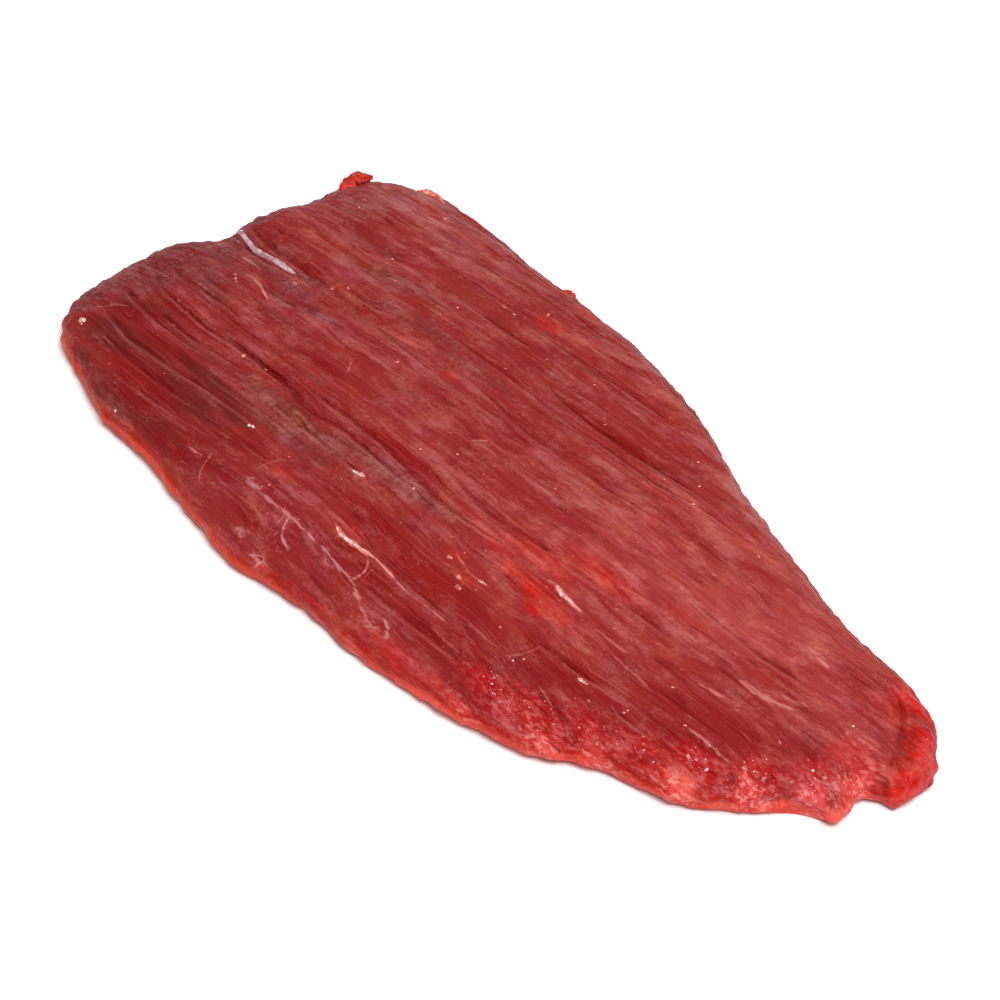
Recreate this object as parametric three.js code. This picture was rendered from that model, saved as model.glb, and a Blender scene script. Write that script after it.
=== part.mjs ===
// A raw, flat beef steak: one long muscle from the flank, cut square at its wide end and
// tapering to a blunt tip, lying on its flat side. The muscle fibres run along its length.
// Millimetres. +X runs with the fibres from the wide end to the tip, +Z is up, and the origin
// is the middle of the resting face, under the middle of the steak's box.
import * as THREE from "three";
import { mergeVertices } from "three/addons/utils/BufferGeometryUtils.js";

// Height of the crown along the steak: [share of the length, height]
const CROWN = [
  [0.0, 14.0],
  [0.12, 17.0],
  [0.35, 19.5],
  [0.6, 18.5],
  [0.85, 15.5],
  [1.0, 13.0],
];
const SIDE_THINNING = 0.3; // share of the crown that is lost towards the two long sides
const RIM_HEIGHT = 4.6; // height of the widest line above the table
const RIM_WAVER = 0.8; // how far that line rises and falls
const UNDER_ROLL = 4.0; // how far the underside rolls in from the widest line to the table

// Width of the rounded shoulder inside each edge
const SHOULDER = { near: 15, far: 13, butt: 18, tip: 12 };

// The four edges seen from above. The two long ones run from the wide end to the tip, the two
// short ones from the near side to the far side.
const NEAR_EDGE = [
  [-164, -64],
  [-155, -69],
  [-126, -76],
  [-114, -79],
  [-102, -79],
  [-92, -77.5],
  [-78, -78.3],
  [-50, -81.5],
  [-24, -82.5],
  [-12, -78.7],
  [3, -76.6],
  [39, -73.3],
  [78, -63.6],
  [92, -58],
  [102, -48.5],
  [116, -42.5],
  [132, -36.5],
  [144, -24],
  [152.5, -10.5],
  [160, -6],
];
const FAR_EDGE = [
  [-169, 63],
  [-157, 73],
  [-139, 81.2],
  [-103, 83],
  [-82, 81.5],
  [-60, 82],
  [-22, 81.3],
  [16, 73.1],
  [52, 61.2],
  [87, 53.3],
  [112, 47.7],
  [140, 46],
  [155, 41.8],
  [166, 32],
];
const BUTT_EDGE = [
  [-164, -64],
  [-170.4, -53],
  [-173, -37],
  [-173.6, -12],
  [-166.5, 3.5],
  [-169, 14],
  [-167.2, 36],
  [-169, 63],
];
const TIP_EDGE = [
  [160, -6],
  [164, -4.5],
  [164, 0],
  [162, 4.2],
  [162.2, 8],
  [166.6, 11.8],
  [170.2, 12.8],
  [170.6, 24],
  [166, 32],
];

// The line along the deepest crease, which parts the steak into a near and a far strip
const SEAM = [
  [-142, -37],
  [-114, -34],
  [-92, -31],
  [-58, -29],
  [-14, -26],
  [30, -20],
  [75, -12],
  [120, -2],
  [150, 2],
];
const SEAM_SHARE = 0.2908; // share of both ends that lies on the near side of that line

// Torn tags that stand out of the edge: place, reach, half length and lift at the rim
const TAGS = [
  { name: "corner flap", at: [-170, 62.5], reach: 3.0, half: 8.5, lift: 5.0 },
  { name: "far shred", at: [-139, 81.7], reach: 1.4, half: 5, lift: 1.2 },
  { name: "far nub", at: [-65, 83], reach: 2.2, half: 4, lift: 2.5 },
];

// Creases between the muscle bundles: depth, half width and the plan points they run through.
// The bundle on the near side of a crease stands a little proud of it by the lip.
const CREASES = [
  {
    name: "long main crease",
    depth: 2.1,
    half: 1.9,
    lip: 0.6,
    through: [[-114, -34], [-92, -31], [-58, -29], [-14, -26]],
  },
  {
    name: "crease beside it",
    depth: 1.5,
    half: 1.9,
    lip: 0.4,
    through: [[-52, -22], [-25, -20.5], [0, -18.5], [36, -11]],
  },
  {
    name: "short butt crease",
    depth: 1.4,
    half: 1.9,
    lip: 0.3,
    through: [[-142, -43.5], [-122, -42.5], [-105, -39.5], [-92, -37.5]],
  },
  {
    name: "tendon furrow",
    depth: 2.0,
    half: 3.0,
    lip: 0,
    through: [[-165, 4], [-148, 3], [-130, 5], [-116, 7]],
  },
  {
    name: "fold inside the bevelled end",
    depth: 1.6,
    half: 3.2,
    lip: 0,
    through: [[171, 12], [166, 18], [161, 24], [154, 31], [144, 38]],
  },
];

// Broad pads and hollows: place, half length with the fibres, half width, height
const PADS = [
  { name: "smooth pad by the near edge", at: [-32, -62], along: 34, across: 12, height: 1.5 },
  { name: "sunken strip beside the pad", at: [16, -50], along: 34, across: 8, height: -1.5 },
  { name: "hollow in the far corner", at: [-122, 34], along: 22, across: 11, height: -1.4 },
  { name: "hollow behind the tip", at: [92, -30], along: 26, across: 8, height: -1.0 },
  { name: "lump at the tip", at: [158, 3], along: 9, across: 5, height: 1.6 },
];

// The fibres lie like a slightly opened fan and run out at both long edges: their slope in the
// plan on the middle line, and how much steeper each millimetre towards the far side makes it
const FIBRE_SLOPE = 0.09;
const FIBRE_FAN = 0.0007;

// Ridges of the muscle bundles, which run with the fibres
const BUNDLES = [
  { width: 18, length: 120, height: 1.1 },
  { width: 9, length: 80, height: 0.75 },
];
const BUNDLE_WANDER = 5; // how far a bundle drifts sideways on its way
const RAGGED = 0.9; // roughness of the cut edge
const RAGGED_LENGTH = 7;

// Facets
const CELLS_ALONG = 72;
const CELLS_ACROSS = 64;
const EDGE_CROWDING = 0.4; // 0 spaces the cells evenly, towards 1 crowds them at the edges
const ROLL_RINGS = 3;
const CREASE_STEPS = 60;

const SEED = 17;

const { clamp, lerp, smoothstep } = THREE.MathUtils;

// A repeatable random number from 0 to 1 for a cell of the noise
function chance(i, j, layer) {
  const s = Math.sin(i * 127.1 + j * 311.7 + layer * 74.7 + SEED) * 43758.5453;
  return s - Math.floor(s);
}

// Smooth noise from -1 to 1
function noise(x, y, layer) {
  const i = Math.floor(x);
  const j = Math.floor(y);
  const s = smoothstep(x - i, 0, 1);
  const low = lerp(chance(i, j, layer), chance(i + 1, j, layer), s);
  const high = lerp(chance(i, j + 1, layer), chance(i + 1, j + 1, layer), s);
  return 2 * lerp(low, high, smoothstep(y - j, 0, 1)) - 1;
}

// A curve through points in the plan
function planCurve(points) {
  const places = points.map(([x, y]) => new THREE.Vector3(x, y, 0));
  return new THREE.CatmullRomCurve3(places, false, "centripetal");
}

const near = planCurve(NEAR_EDGE);
const far = planCurve(FAR_EDGE);
const butt = planCurve(BUTT_EDGE);
const tip = planCurve(TIP_EDGE);
const seamStart = butt.getPointAt(SEAM_SHARE).toArray();
const seamEnd = tip.getPointAt(SEAM_SHARE).toArray();
const seam = planCurve([seamStart, ...SEAM, seamEnd]);
const length = near.getLength();

function widthAt(u) {
  return near.getPointAt(u).distanceTo(far.getPointAt(u));
}

// The plan point at share u of the length and share v of the width. It lies between two of
// the long lines, and is moved by what such a straight crossing misses at the two ends.
function plan(u, v) {
  const low = v < SEAM_SHARE ? near : seam;
  const high = v < SEAM_SHARE ? seam : far;
  const t = v < SEAM_SHARE ? v / SEAM_SHARE : (v - SEAM_SHARE) / (1 - SEAM_SHARE);
  const crossing = (share) => low.getPointAt(share).lerp(high.getPointAt(share), t);
  const missAtButt = butt.getPointAt(v).sub(crossing(0));
  const missAtTip = tip.getPointAt(v).sub(crossing(1));
  return crossing(u).addScaledVector(missAtButt, 1 - u).addScaledVector(missAtTip, u);
}

// Share of the way, with the cells crowded towards both ends
function crowded(t) {
  return t - (EDGE_CROWDING * Math.sin(2 * Math.PI * t)) / (2 * Math.PI);
}

// Height of the crown at share u of the length
function crownAt(u) {
  const next = Math.max(1, CROWN.findIndex(([share]) => share >= u));
  const [from, low] = CROWN[next - 1];
  const [to, high] = CROWN[next];
  return lerp(low, high, smoothstep(u, from, to));
}

// Quarter-round shoulder: 0 at the rim, 1 once the distance reaches the shoulder's width
function shoulder(distance, width) {
  const left = 1 - clamp(distance / width, 0, 1);
  return Math.sqrt(1 - left * left);
}

const creases = CREASES.map((crease) => ({
  ...crease,
  line: planCurve(crease.through).getSpacedPoints(CREASE_STEPS),
}));

// What a crease adds to the height at a plan point: its notch and the lip on its near side
function creaseRelief(crease, point) {
  const gaps = crease.line.map((place) => place.distanceTo(point));
  const gap = Math.min(...gaps);
  const step = gaps.indexOf(gap);
  const share = step / CREASE_STEPS;
  const strength = smoothstep(Math.min(share, 1 - share), -0.06, 0.3);
  const side = crease.line[step].y - point.y;
  const notch = crease.depth * Math.exp(-((gap / crease.half) ** 2));
  const lipGap = (side - 3 * crease.half) / (2 * crease.half);
  const lip = crease.lip * Math.exp(-(lipGap ** 2)) * Math.exp(-((gap / 14) ** 2));
  return (lip - notch) * strength;
}

function padRelief(pad, point) {
  const along = (point.x - pad.at[0]) / pad.along;
  const across = (point.y - pad.at[1]) / pad.across;
  return pad.height * Math.exp(-(along ** 2) - across ** 2);
}

// The lane of fibres that a plan point lies in, named by where it crosses the line x = 0
function laneAt(point) {
  const hub = FIBRE_SLOPE / FIBRE_FAN;
  return (point.y + hub) * Math.exp(-FIBRE_FAN * point.x) - hub;
}

// Height of the muscle bundles at a plan point
function bundleRelief(point) {
  const lane = laneAt(point);
  const wander = BUNDLE_WANDER * noise(point.x / 55, lane / 40, 1);
  const heights = BUNDLES.map(({ width, length: reach, height }, layer) => {
    return height * noise(point.x / reach, (lane + wander) / width, 2 + layer);
  });
  return heights.reduce((sum, height) => sum + height, 0);
}

function relief(point) {
  let height = bundleRelief(point);
  for (const crease of creases) height += creaseRelief(crease, point);
  for (const pad of PADS) height += padRelief(pad, point);
  return height;
}

// Height of the top at share u, v, whose plan point is known
function topHeight(u, v, point) {
  const width = widthAt(u);
  const round =
    shoulder(v * width, SHOULDER.near) *
    shoulder((1 - v) * width, SHOULDER.far) *
    shoulder(u * length, SHOULDER.butt) *
    shoulder((1 - u) * length, SHOULDER.tip);
  const crown = crownAt(u) * (1 - SIDE_THINNING * (2 * v - 1) ** 2);
  return RIM_HEIGHT + (crown + relief(point) - RIM_HEIGHT) * round;
}

// Outward direction of the rim at one of its points, from its neighbours on the loop
function outward(loop, index) {
  const reach = 3;
  const before = loop[(index - reach + loop.length) % loop.length];
  const after = loop[(index + reach) % loop.length];
  const along = new THREE.Vector3().subVectors(after, before).normalize();
  return new THREE.Vector3(along.y, -along.x, 0);
}

// How a point of the rim is moved: ragged everywhere, and drawn out where a tag hangs
function rimMove(loop, index) {
  const point = loop[index];
  let reach = RAGGED * noise(point.x / RAGGED_LENGTH, point.y / RAGGED_LENGTH, 8);
  let lift = RIM_WAVER * noise(point.x / 20, point.y / 20, 9);
  for (const tag of TAGS) {
    const gap = Math.hypot(point.x - tag.at[0], point.y - tag.at[1]);
    const pull = smoothstep(1 - gap / tag.half, 0, 0.7);
    reach += pull * tag.reach;
    lift += pull * tag.lift;
  }
  return outward(loop, index).multiplyScalar(reach).setZ(lift);
}

// The grid's border cells in one loop, anticlockwise from above
function borderCells() {
  const cells = [];
  for (let i = 0; i < CELLS_ALONG; i++) cells.push([i, 0]);
  for (let j = 0; j < CELLS_ACROSS; j++) cells.push([CELLS_ALONG, j]);
  for (let i = CELLS_ALONG; i > 0; i--) cells.push([i, CELLS_ACROSS]);
  for (let j = CELLS_ACROSS; j > 0; j--) cells.push([0, j]);
  return cells;
}

// Top of the steak as rows of points from the wide end to the tip
function topGrid() {
  const rows = [];
  for (let i = 0; i <= CELLS_ALONG; i++) {
    const row = [];
    for (let j = 0; j <= CELLS_ACROSS; j++) {
      const [u, v] = [crowded(i / CELLS_ALONG), crowded(j / CELLS_ACROSS)];
      const point = plan(u, v);
      point.z = topHeight(u, v, point);
      row.push(point);
    }
    rows.push(row);
  }
  const rim = borderCells().map(([i, j]) => rows[i][j]);
  const moves = rim.map((point, index) => rimMove(rim, index));
  rim.forEach((point, index) => point.add(moves[index]));
  return rows;
}

// The place on the underside that belongs to border cell i, j: the same share of the steak's
// length and width, taken inside a margin as wide as the roll
function restingPlace(i, j) {
  const [u, v] = [crowded(i / CELLS_ALONG), crowded(j / CELLS_ACROSS)];
  const [endMargin, sideMargin] = [UNDER_ROLL / length, UNDER_ROLL / widthAt(u)];
  return plan(lerp(endMargin, 1 - endMargin, u), lerp(sideMargin, 1 - sideMargin, v));
}

// Rings that roll from the rim under to the table
function rollRings(rim) {
  const resting = borderCells().map(([i, j]) => restingPlace(i, j));
  const rings = [];
  for (let k = 1; k <= ROLL_RINGS; k++) {
    const angle = ((Math.PI / 2) * k) / ROLL_RINGS;
    const ring = rim.map((point, index) => {
      const place = point.clone().lerp(resting[index], 1 - Math.cos(angle));
      place.z = point.z * (1 - Math.sin(angle));
      return place;
    });
    rings.push(ring);
  }
  return rings;
}

// Two triangles over a cell, parted along the more level diagonal so that creases stay clean
function cellTriangles(a, b, c, d) {
  const levelFirst = Math.abs(a.z - c.z) <= Math.abs(b.z - d.z);
  return levelFirst ? [[a, b, c], [a, c, d]] : [[a, b, d], [b, c, d]];
}

function steakGeometry() {
  const rows = topGrid();
  const rim = borderCells().map(([i, j]) => rows[i][j]);
  const rings = [rim, ...rollRings(rim)];
  const triangles = [];
  for (let i = 0; i < CELLS_ALONG; i++) {
    for (let j = 0; j < CELLS_ACROSS; j++) {
      const [first, next] = [rows[i], rows[i + 1]];
      triangles.push(...cellTriangles(first[j], next[j], next[j + 1], first[j + 1]));
    }
  }
  for (let k = 0; k < ROLL_RINGS; k++) {
    const [upper, lower] = [rings[k], rings[k + 1]];
    for (let n = 0; n < rim.length; n++) {
      const next = (n + 1) % rim.length;
      triangles.push([upper[n], lower[next], upper[next]]);
      triangles.push([upper[n], lower[n], lower[next]]);
    }
  }
  const base = rings[ROLL_RINGS];
  const flat = base.map((point) => new THREE.Vector2(point.x, point.y));
  for (const [a, b, c] of THREE.ShapeUtils.triangulateShape(flat, [])) {
    triangles.push([base[a], base[c], base[b]]);
  }
  const geometry = mergeVertices(new THREE.BufferGeometry().setFromPoints(triangles.flat()));
  geometry.computeBoundingBox();
  const middle = geometry.boundingBox.getCenter(new THREE.Vector3());
  geometry.translate(-middle.x, -middle.y, 0);
  geometry.computeVertexNormals();
  return geometry;
}

// Raw lean beef, moist and slightly glossy
function rawBeef() {
  return new THREE.MeshStandardMaterial({
    color: 0x9c3133,
    roughness: 0.42,
    metalness: 0,
  });
}

function makeSteak() {
  const steak = new THREE.Mesh(steakGeometry(), rawBeef());
  steak.name = "steak";
  return steak;
}

const group = new THREE.Group();
group.add(makeSteak());

export default group;
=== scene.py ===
# %% [markdown]
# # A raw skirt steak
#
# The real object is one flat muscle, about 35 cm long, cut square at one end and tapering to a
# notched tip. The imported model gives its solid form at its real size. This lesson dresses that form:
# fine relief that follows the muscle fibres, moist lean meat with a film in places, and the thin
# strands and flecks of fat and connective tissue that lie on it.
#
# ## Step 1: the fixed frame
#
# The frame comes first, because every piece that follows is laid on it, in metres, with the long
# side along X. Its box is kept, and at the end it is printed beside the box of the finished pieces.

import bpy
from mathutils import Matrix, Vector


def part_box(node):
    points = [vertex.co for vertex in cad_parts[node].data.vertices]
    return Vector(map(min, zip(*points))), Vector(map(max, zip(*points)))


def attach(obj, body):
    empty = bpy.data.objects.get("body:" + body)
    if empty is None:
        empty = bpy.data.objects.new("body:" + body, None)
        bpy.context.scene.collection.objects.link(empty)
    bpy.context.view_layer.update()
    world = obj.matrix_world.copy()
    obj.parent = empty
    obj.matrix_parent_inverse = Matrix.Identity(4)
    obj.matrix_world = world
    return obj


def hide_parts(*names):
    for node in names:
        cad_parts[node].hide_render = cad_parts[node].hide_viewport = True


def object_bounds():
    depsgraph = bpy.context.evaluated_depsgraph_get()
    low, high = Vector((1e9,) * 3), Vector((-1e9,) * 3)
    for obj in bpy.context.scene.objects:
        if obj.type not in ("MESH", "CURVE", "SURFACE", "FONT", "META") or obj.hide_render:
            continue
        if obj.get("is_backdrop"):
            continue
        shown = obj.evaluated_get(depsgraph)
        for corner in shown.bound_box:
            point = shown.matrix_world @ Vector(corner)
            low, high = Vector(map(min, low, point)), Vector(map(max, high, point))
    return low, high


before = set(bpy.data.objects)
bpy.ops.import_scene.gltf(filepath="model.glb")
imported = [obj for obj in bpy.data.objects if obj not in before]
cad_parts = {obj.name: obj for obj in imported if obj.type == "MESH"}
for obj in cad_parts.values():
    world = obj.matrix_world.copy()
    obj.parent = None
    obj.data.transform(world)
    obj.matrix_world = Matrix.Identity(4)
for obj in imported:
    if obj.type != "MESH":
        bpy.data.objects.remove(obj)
cad_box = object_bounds()
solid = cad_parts["steak"]
low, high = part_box("steak")
print("steak box in mm", [round(1000 * v) for v in high - low])

# %% [markdown]
# ## Step 2: units
#
# Meat is measured in millimetres and Blender works in metres, so sizes are written in millimetres
# and multiplied by MM. What is left to chance later, such as how a fleck is turned, comes from one
# seeded row of random numbers, so that the steak is the same each time.

# %% Modules and units
import math
import random

import bpy
import numpy as np
from mathutils import Vector

MM = 0.001
random.seed(4)
print("one millimetre is", MM, "Blender units")

# %% [markdown]
# ## Step 3: the camera
#
# The steak is seen from above its long near side, through a long lens from about 90 cm, so that
# the far end hardly shrinks. The camera is placed by the point it looks at, its distance, and two
# angles, which is easier to reason about than a location.

# %% Camera
AIM = Vector((-2.66, 3.09, 0)) * MM        # the point that it looks at
DISTANCE = 892.3 * MM
AROUND = math.radians(52.82)     # from straight in front of the near side towards the tip
ELEVATION = math.radians(42)
LENS = 100                       # mm
SENSOR = 36                      # mm

ground = DISTANCE * math.cos(ELEVATION)
step_back = Vector((math.sin(AROUND) * ground, -math.cos(AROUND) * ground, DISTANCE * math.sin(ELEVATION)))
bpy.ops.object.camera_add(location=AIM + step_back)
camera = bpy.context.object
camera.name = "photo_camera"
camera.data.lens = LENS
camera.data.sensor_width = SENSOR
camera.rotation_euler = (-step_back).to_track_quat("-Z", "Y").to_euler()
bpy.context.scene.camera = camera
print("camera at", [round(v, 3) for v in camera.location])

# %% [markdown]
# ## Step 4: the floor and the light
#
# The steak lies on a plain pale floor. Colours are written as sRGB hex values, as a colour picker
# gives them, and one function turns them into the linear values that shaders work in. The main
# light is a soft box above and beyond the tip, and a larger one hangs over the middle. Raw meat is
# dark and saturated, so a bright surround would wash it out: it stays a dim grey, and the floor's
# own bounce fills the low sides.

# %% Floor
FLOOR_SIDE = 8                   # m
FLOOR_GAP = 0.2 * MM             # between the floor and the resting face


def linear(hex_colour):
    """An sRGB hex colour as linear red, green, blue and alpha."""
    parts = [int(hex_colour[i:i + 2], 16) / 255 for i in (1, 3, 5)]
    return [p / 12.92 if p <= 0.04045 else ((p + 0.055) / 1.055) ** 2.4 for p in parts] + [1.0]


def new_finish(name, settings):
    """A new material whose Principled shader has these values, and the shader."""
    material = bpy.data.materials.new(name)
    material.use_nodes = True
    shader = material.node_tree.nodes["Principled BSDF"]
    for socket, value in settings.items():
        shader.inputs[socket].default_value = value
    return material, shader


bpy.ops.object.select_all(action="DESELECT")
bpy.ops.mesh.primitive_plane_add(size=FLOOR_SIDE, location=(0, 0, -FLOOR_GAP))
floor = bpy.context.object
floor.name = "floor"
# Uncoated paper is rough, so it shows a soft shadow and no gloss
matt_paper = {"Base Color": linear("#F7F7F7"), "Roughness": 0.9, "Specular IOR Level": 0.1}
floor_paint, _ = new_finish("matt_white_paper", matt_paper)
floor.data.materials.append(floor_paint)
floor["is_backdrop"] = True
print("floor of", FLOOR_SIDE, "m")

# %% Lights
SOFT_BOXES = [
    # name, place in metres, side in metres, power in watts
    ("key_soft_box", (0.60, -0.15, 1.10), 0.6, 15.0),
    ("top_soft_box", (0.05, 0.10, 1.50), 1.3, 10.5),
]
SURROUND = 0.33                  # brightness of the surround, where 1 is white

for name, spot, side, power in SOFT_BOXES:
    bpy.ops.object.light_add(type="AREA", location=spot)
    lamp = bpy.context.object
    lamp.name = name
    lamp.data.shape = "SQUARE"
    lamp.data.size = side
    lamp.data.energy = power
    lamp.rotation_euler = (-Vector(spot)).to_track_quat("-Z", "Y").to_euler()

world = bpy.data.worlds.new("grey_surround")
world.use_nodes = True
surround = world.node_tree.nodes["Background"]
surround.inputs["Color"].default_value = linear("#FFFFFF")
surround.inputs["Strength"].default_value = SURROUND
bpy.context.scene.world = world
bpy.context.scene.view_settings.view_transform = "Standard"
print("soft boxes", len(SOFT_BOXES))

# %% [markdown]
# ## Step 5: the body of lean meat
#
# The frame's solid has the right form but flat facets. A copy of it is merged into one skin, its
# triangles are paired back into quads, and it is subdivided twice, which rounds the facets and
# gives enough points for relief. Sculpting could do the same by hand, but a rule along the fibres
# is even over 35 cm and can be changed later.

# %% Copy and smooth the solid
MERGE = 0.01 * MM                # points that lie nearer than this become one
PAIR = math.radians(60)          # triangles that are turned less than this become one quad
ROUNDINGS = 2                    # times that it is subdivided


def pick_only(piece):
    """Leaves this one object selected and active."""
    bpy.ops.object.select_all(action="DESELECT")
    piece.select_set(True)
    bpy.context.view_layer.objects.active = piece


lean = bpy.data.objects.new("lean", solid.data.copy())
bpy.context.scene.collection.objects.link(lean)
pick_only(lean)
bpy.ops.object.mode_set(mode="EDIT")
bpy.ops.mesh.select_all(action="SELECT")
bpy.ops.mesh.remove_doubles(threshold=MERGE)
bpy.ops.mesh.tris_convert_to_quads(face_threshold=PAIR, shape_threshold=PAIR)
bpy.ops.object.mode_set(mode="OBJECT")
bpy.ops.mesh.customdata_custom_splitnormals_clear()
rounding = lean.modifiers.new("rounding", "SUBSURF")
rounding.levels = rounding.render_levels = ROUNDINGS
bpy.ops.object.modifier_apply(modifier=rounding.name)
bpy.ops.object.shade_smooth()
print("lean body", len(lean.data.vertices), "points", len(lean.data.polygons), "faces")

# %% [markdown]
# ## Step 6: which way the fibres run
#
# Muscle fibres lie side by side like a slightly opened fan, and run out at both long edges. Each
# point gets a place in fibre terms: how far along it is, which lane it is in, and how deep. Every
# pattern that follows reads this place, so strands, grooves and stains all run with the fibres.
# On the cut sides the same three numbers show the fibres from their ends, as a real cut does.

# %% Fibre lanes
FIBRE_SLOPE = 0.09               # slope of the fibres in the plan, on the middle line
FIBRE_FAN = 0.0007               # how much steeper each millimetre towards the far side makes it
HUB = FIBRE_SLOPE / FIBRE_FAN    # mm towards the near side, where fibres would run along X


def lane_of(x, y):
    """The lane, in mm, that a plan point lies in, named by where it crosses the line x = 0."""
    return (y + HUB) * np.exp(-FIBRE_FAN * x) - HUB


print("fibres slope by", round(math.degrees(math.atan(FIBRE_SLOPE)), 1), "degrees")

# %% Points of the lean body
def measure(what):
    """The places or the normals of all points of the lean body, one row for each."""
    row = np.empty(len(lean.data.vertices) * 3, np.float32)
    lean.data.vertices.foreach_get(what, row)
    return row.reshape(-1, 3)


def paint(name, values, kind="FLOAT"):
    """Stores one value, or one vector, for each point of the lean body."""
    layer = lean.data.attributes.new(name, kind, "POINT")
    slot = "vector" if kind == "FLOAT_VECTOR" else "value"
    layer.data.foreach_set(slot, np.asarray(values, np.float32).ravel())


X, Y, Z = (measure("co") / MM).T
UP = measure("normal")[:, 2]     # 1 where the surface faces up, 0 where it is upright
LANE = lane_of(X, Y)
paint("fibre", np.stack([X, LANE, Z], 1) * MM, "FLOAT_VECTOR")
print("lanes from", round(float(LANE.min())), "to", round(float(LANE.max())), "mm")
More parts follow.
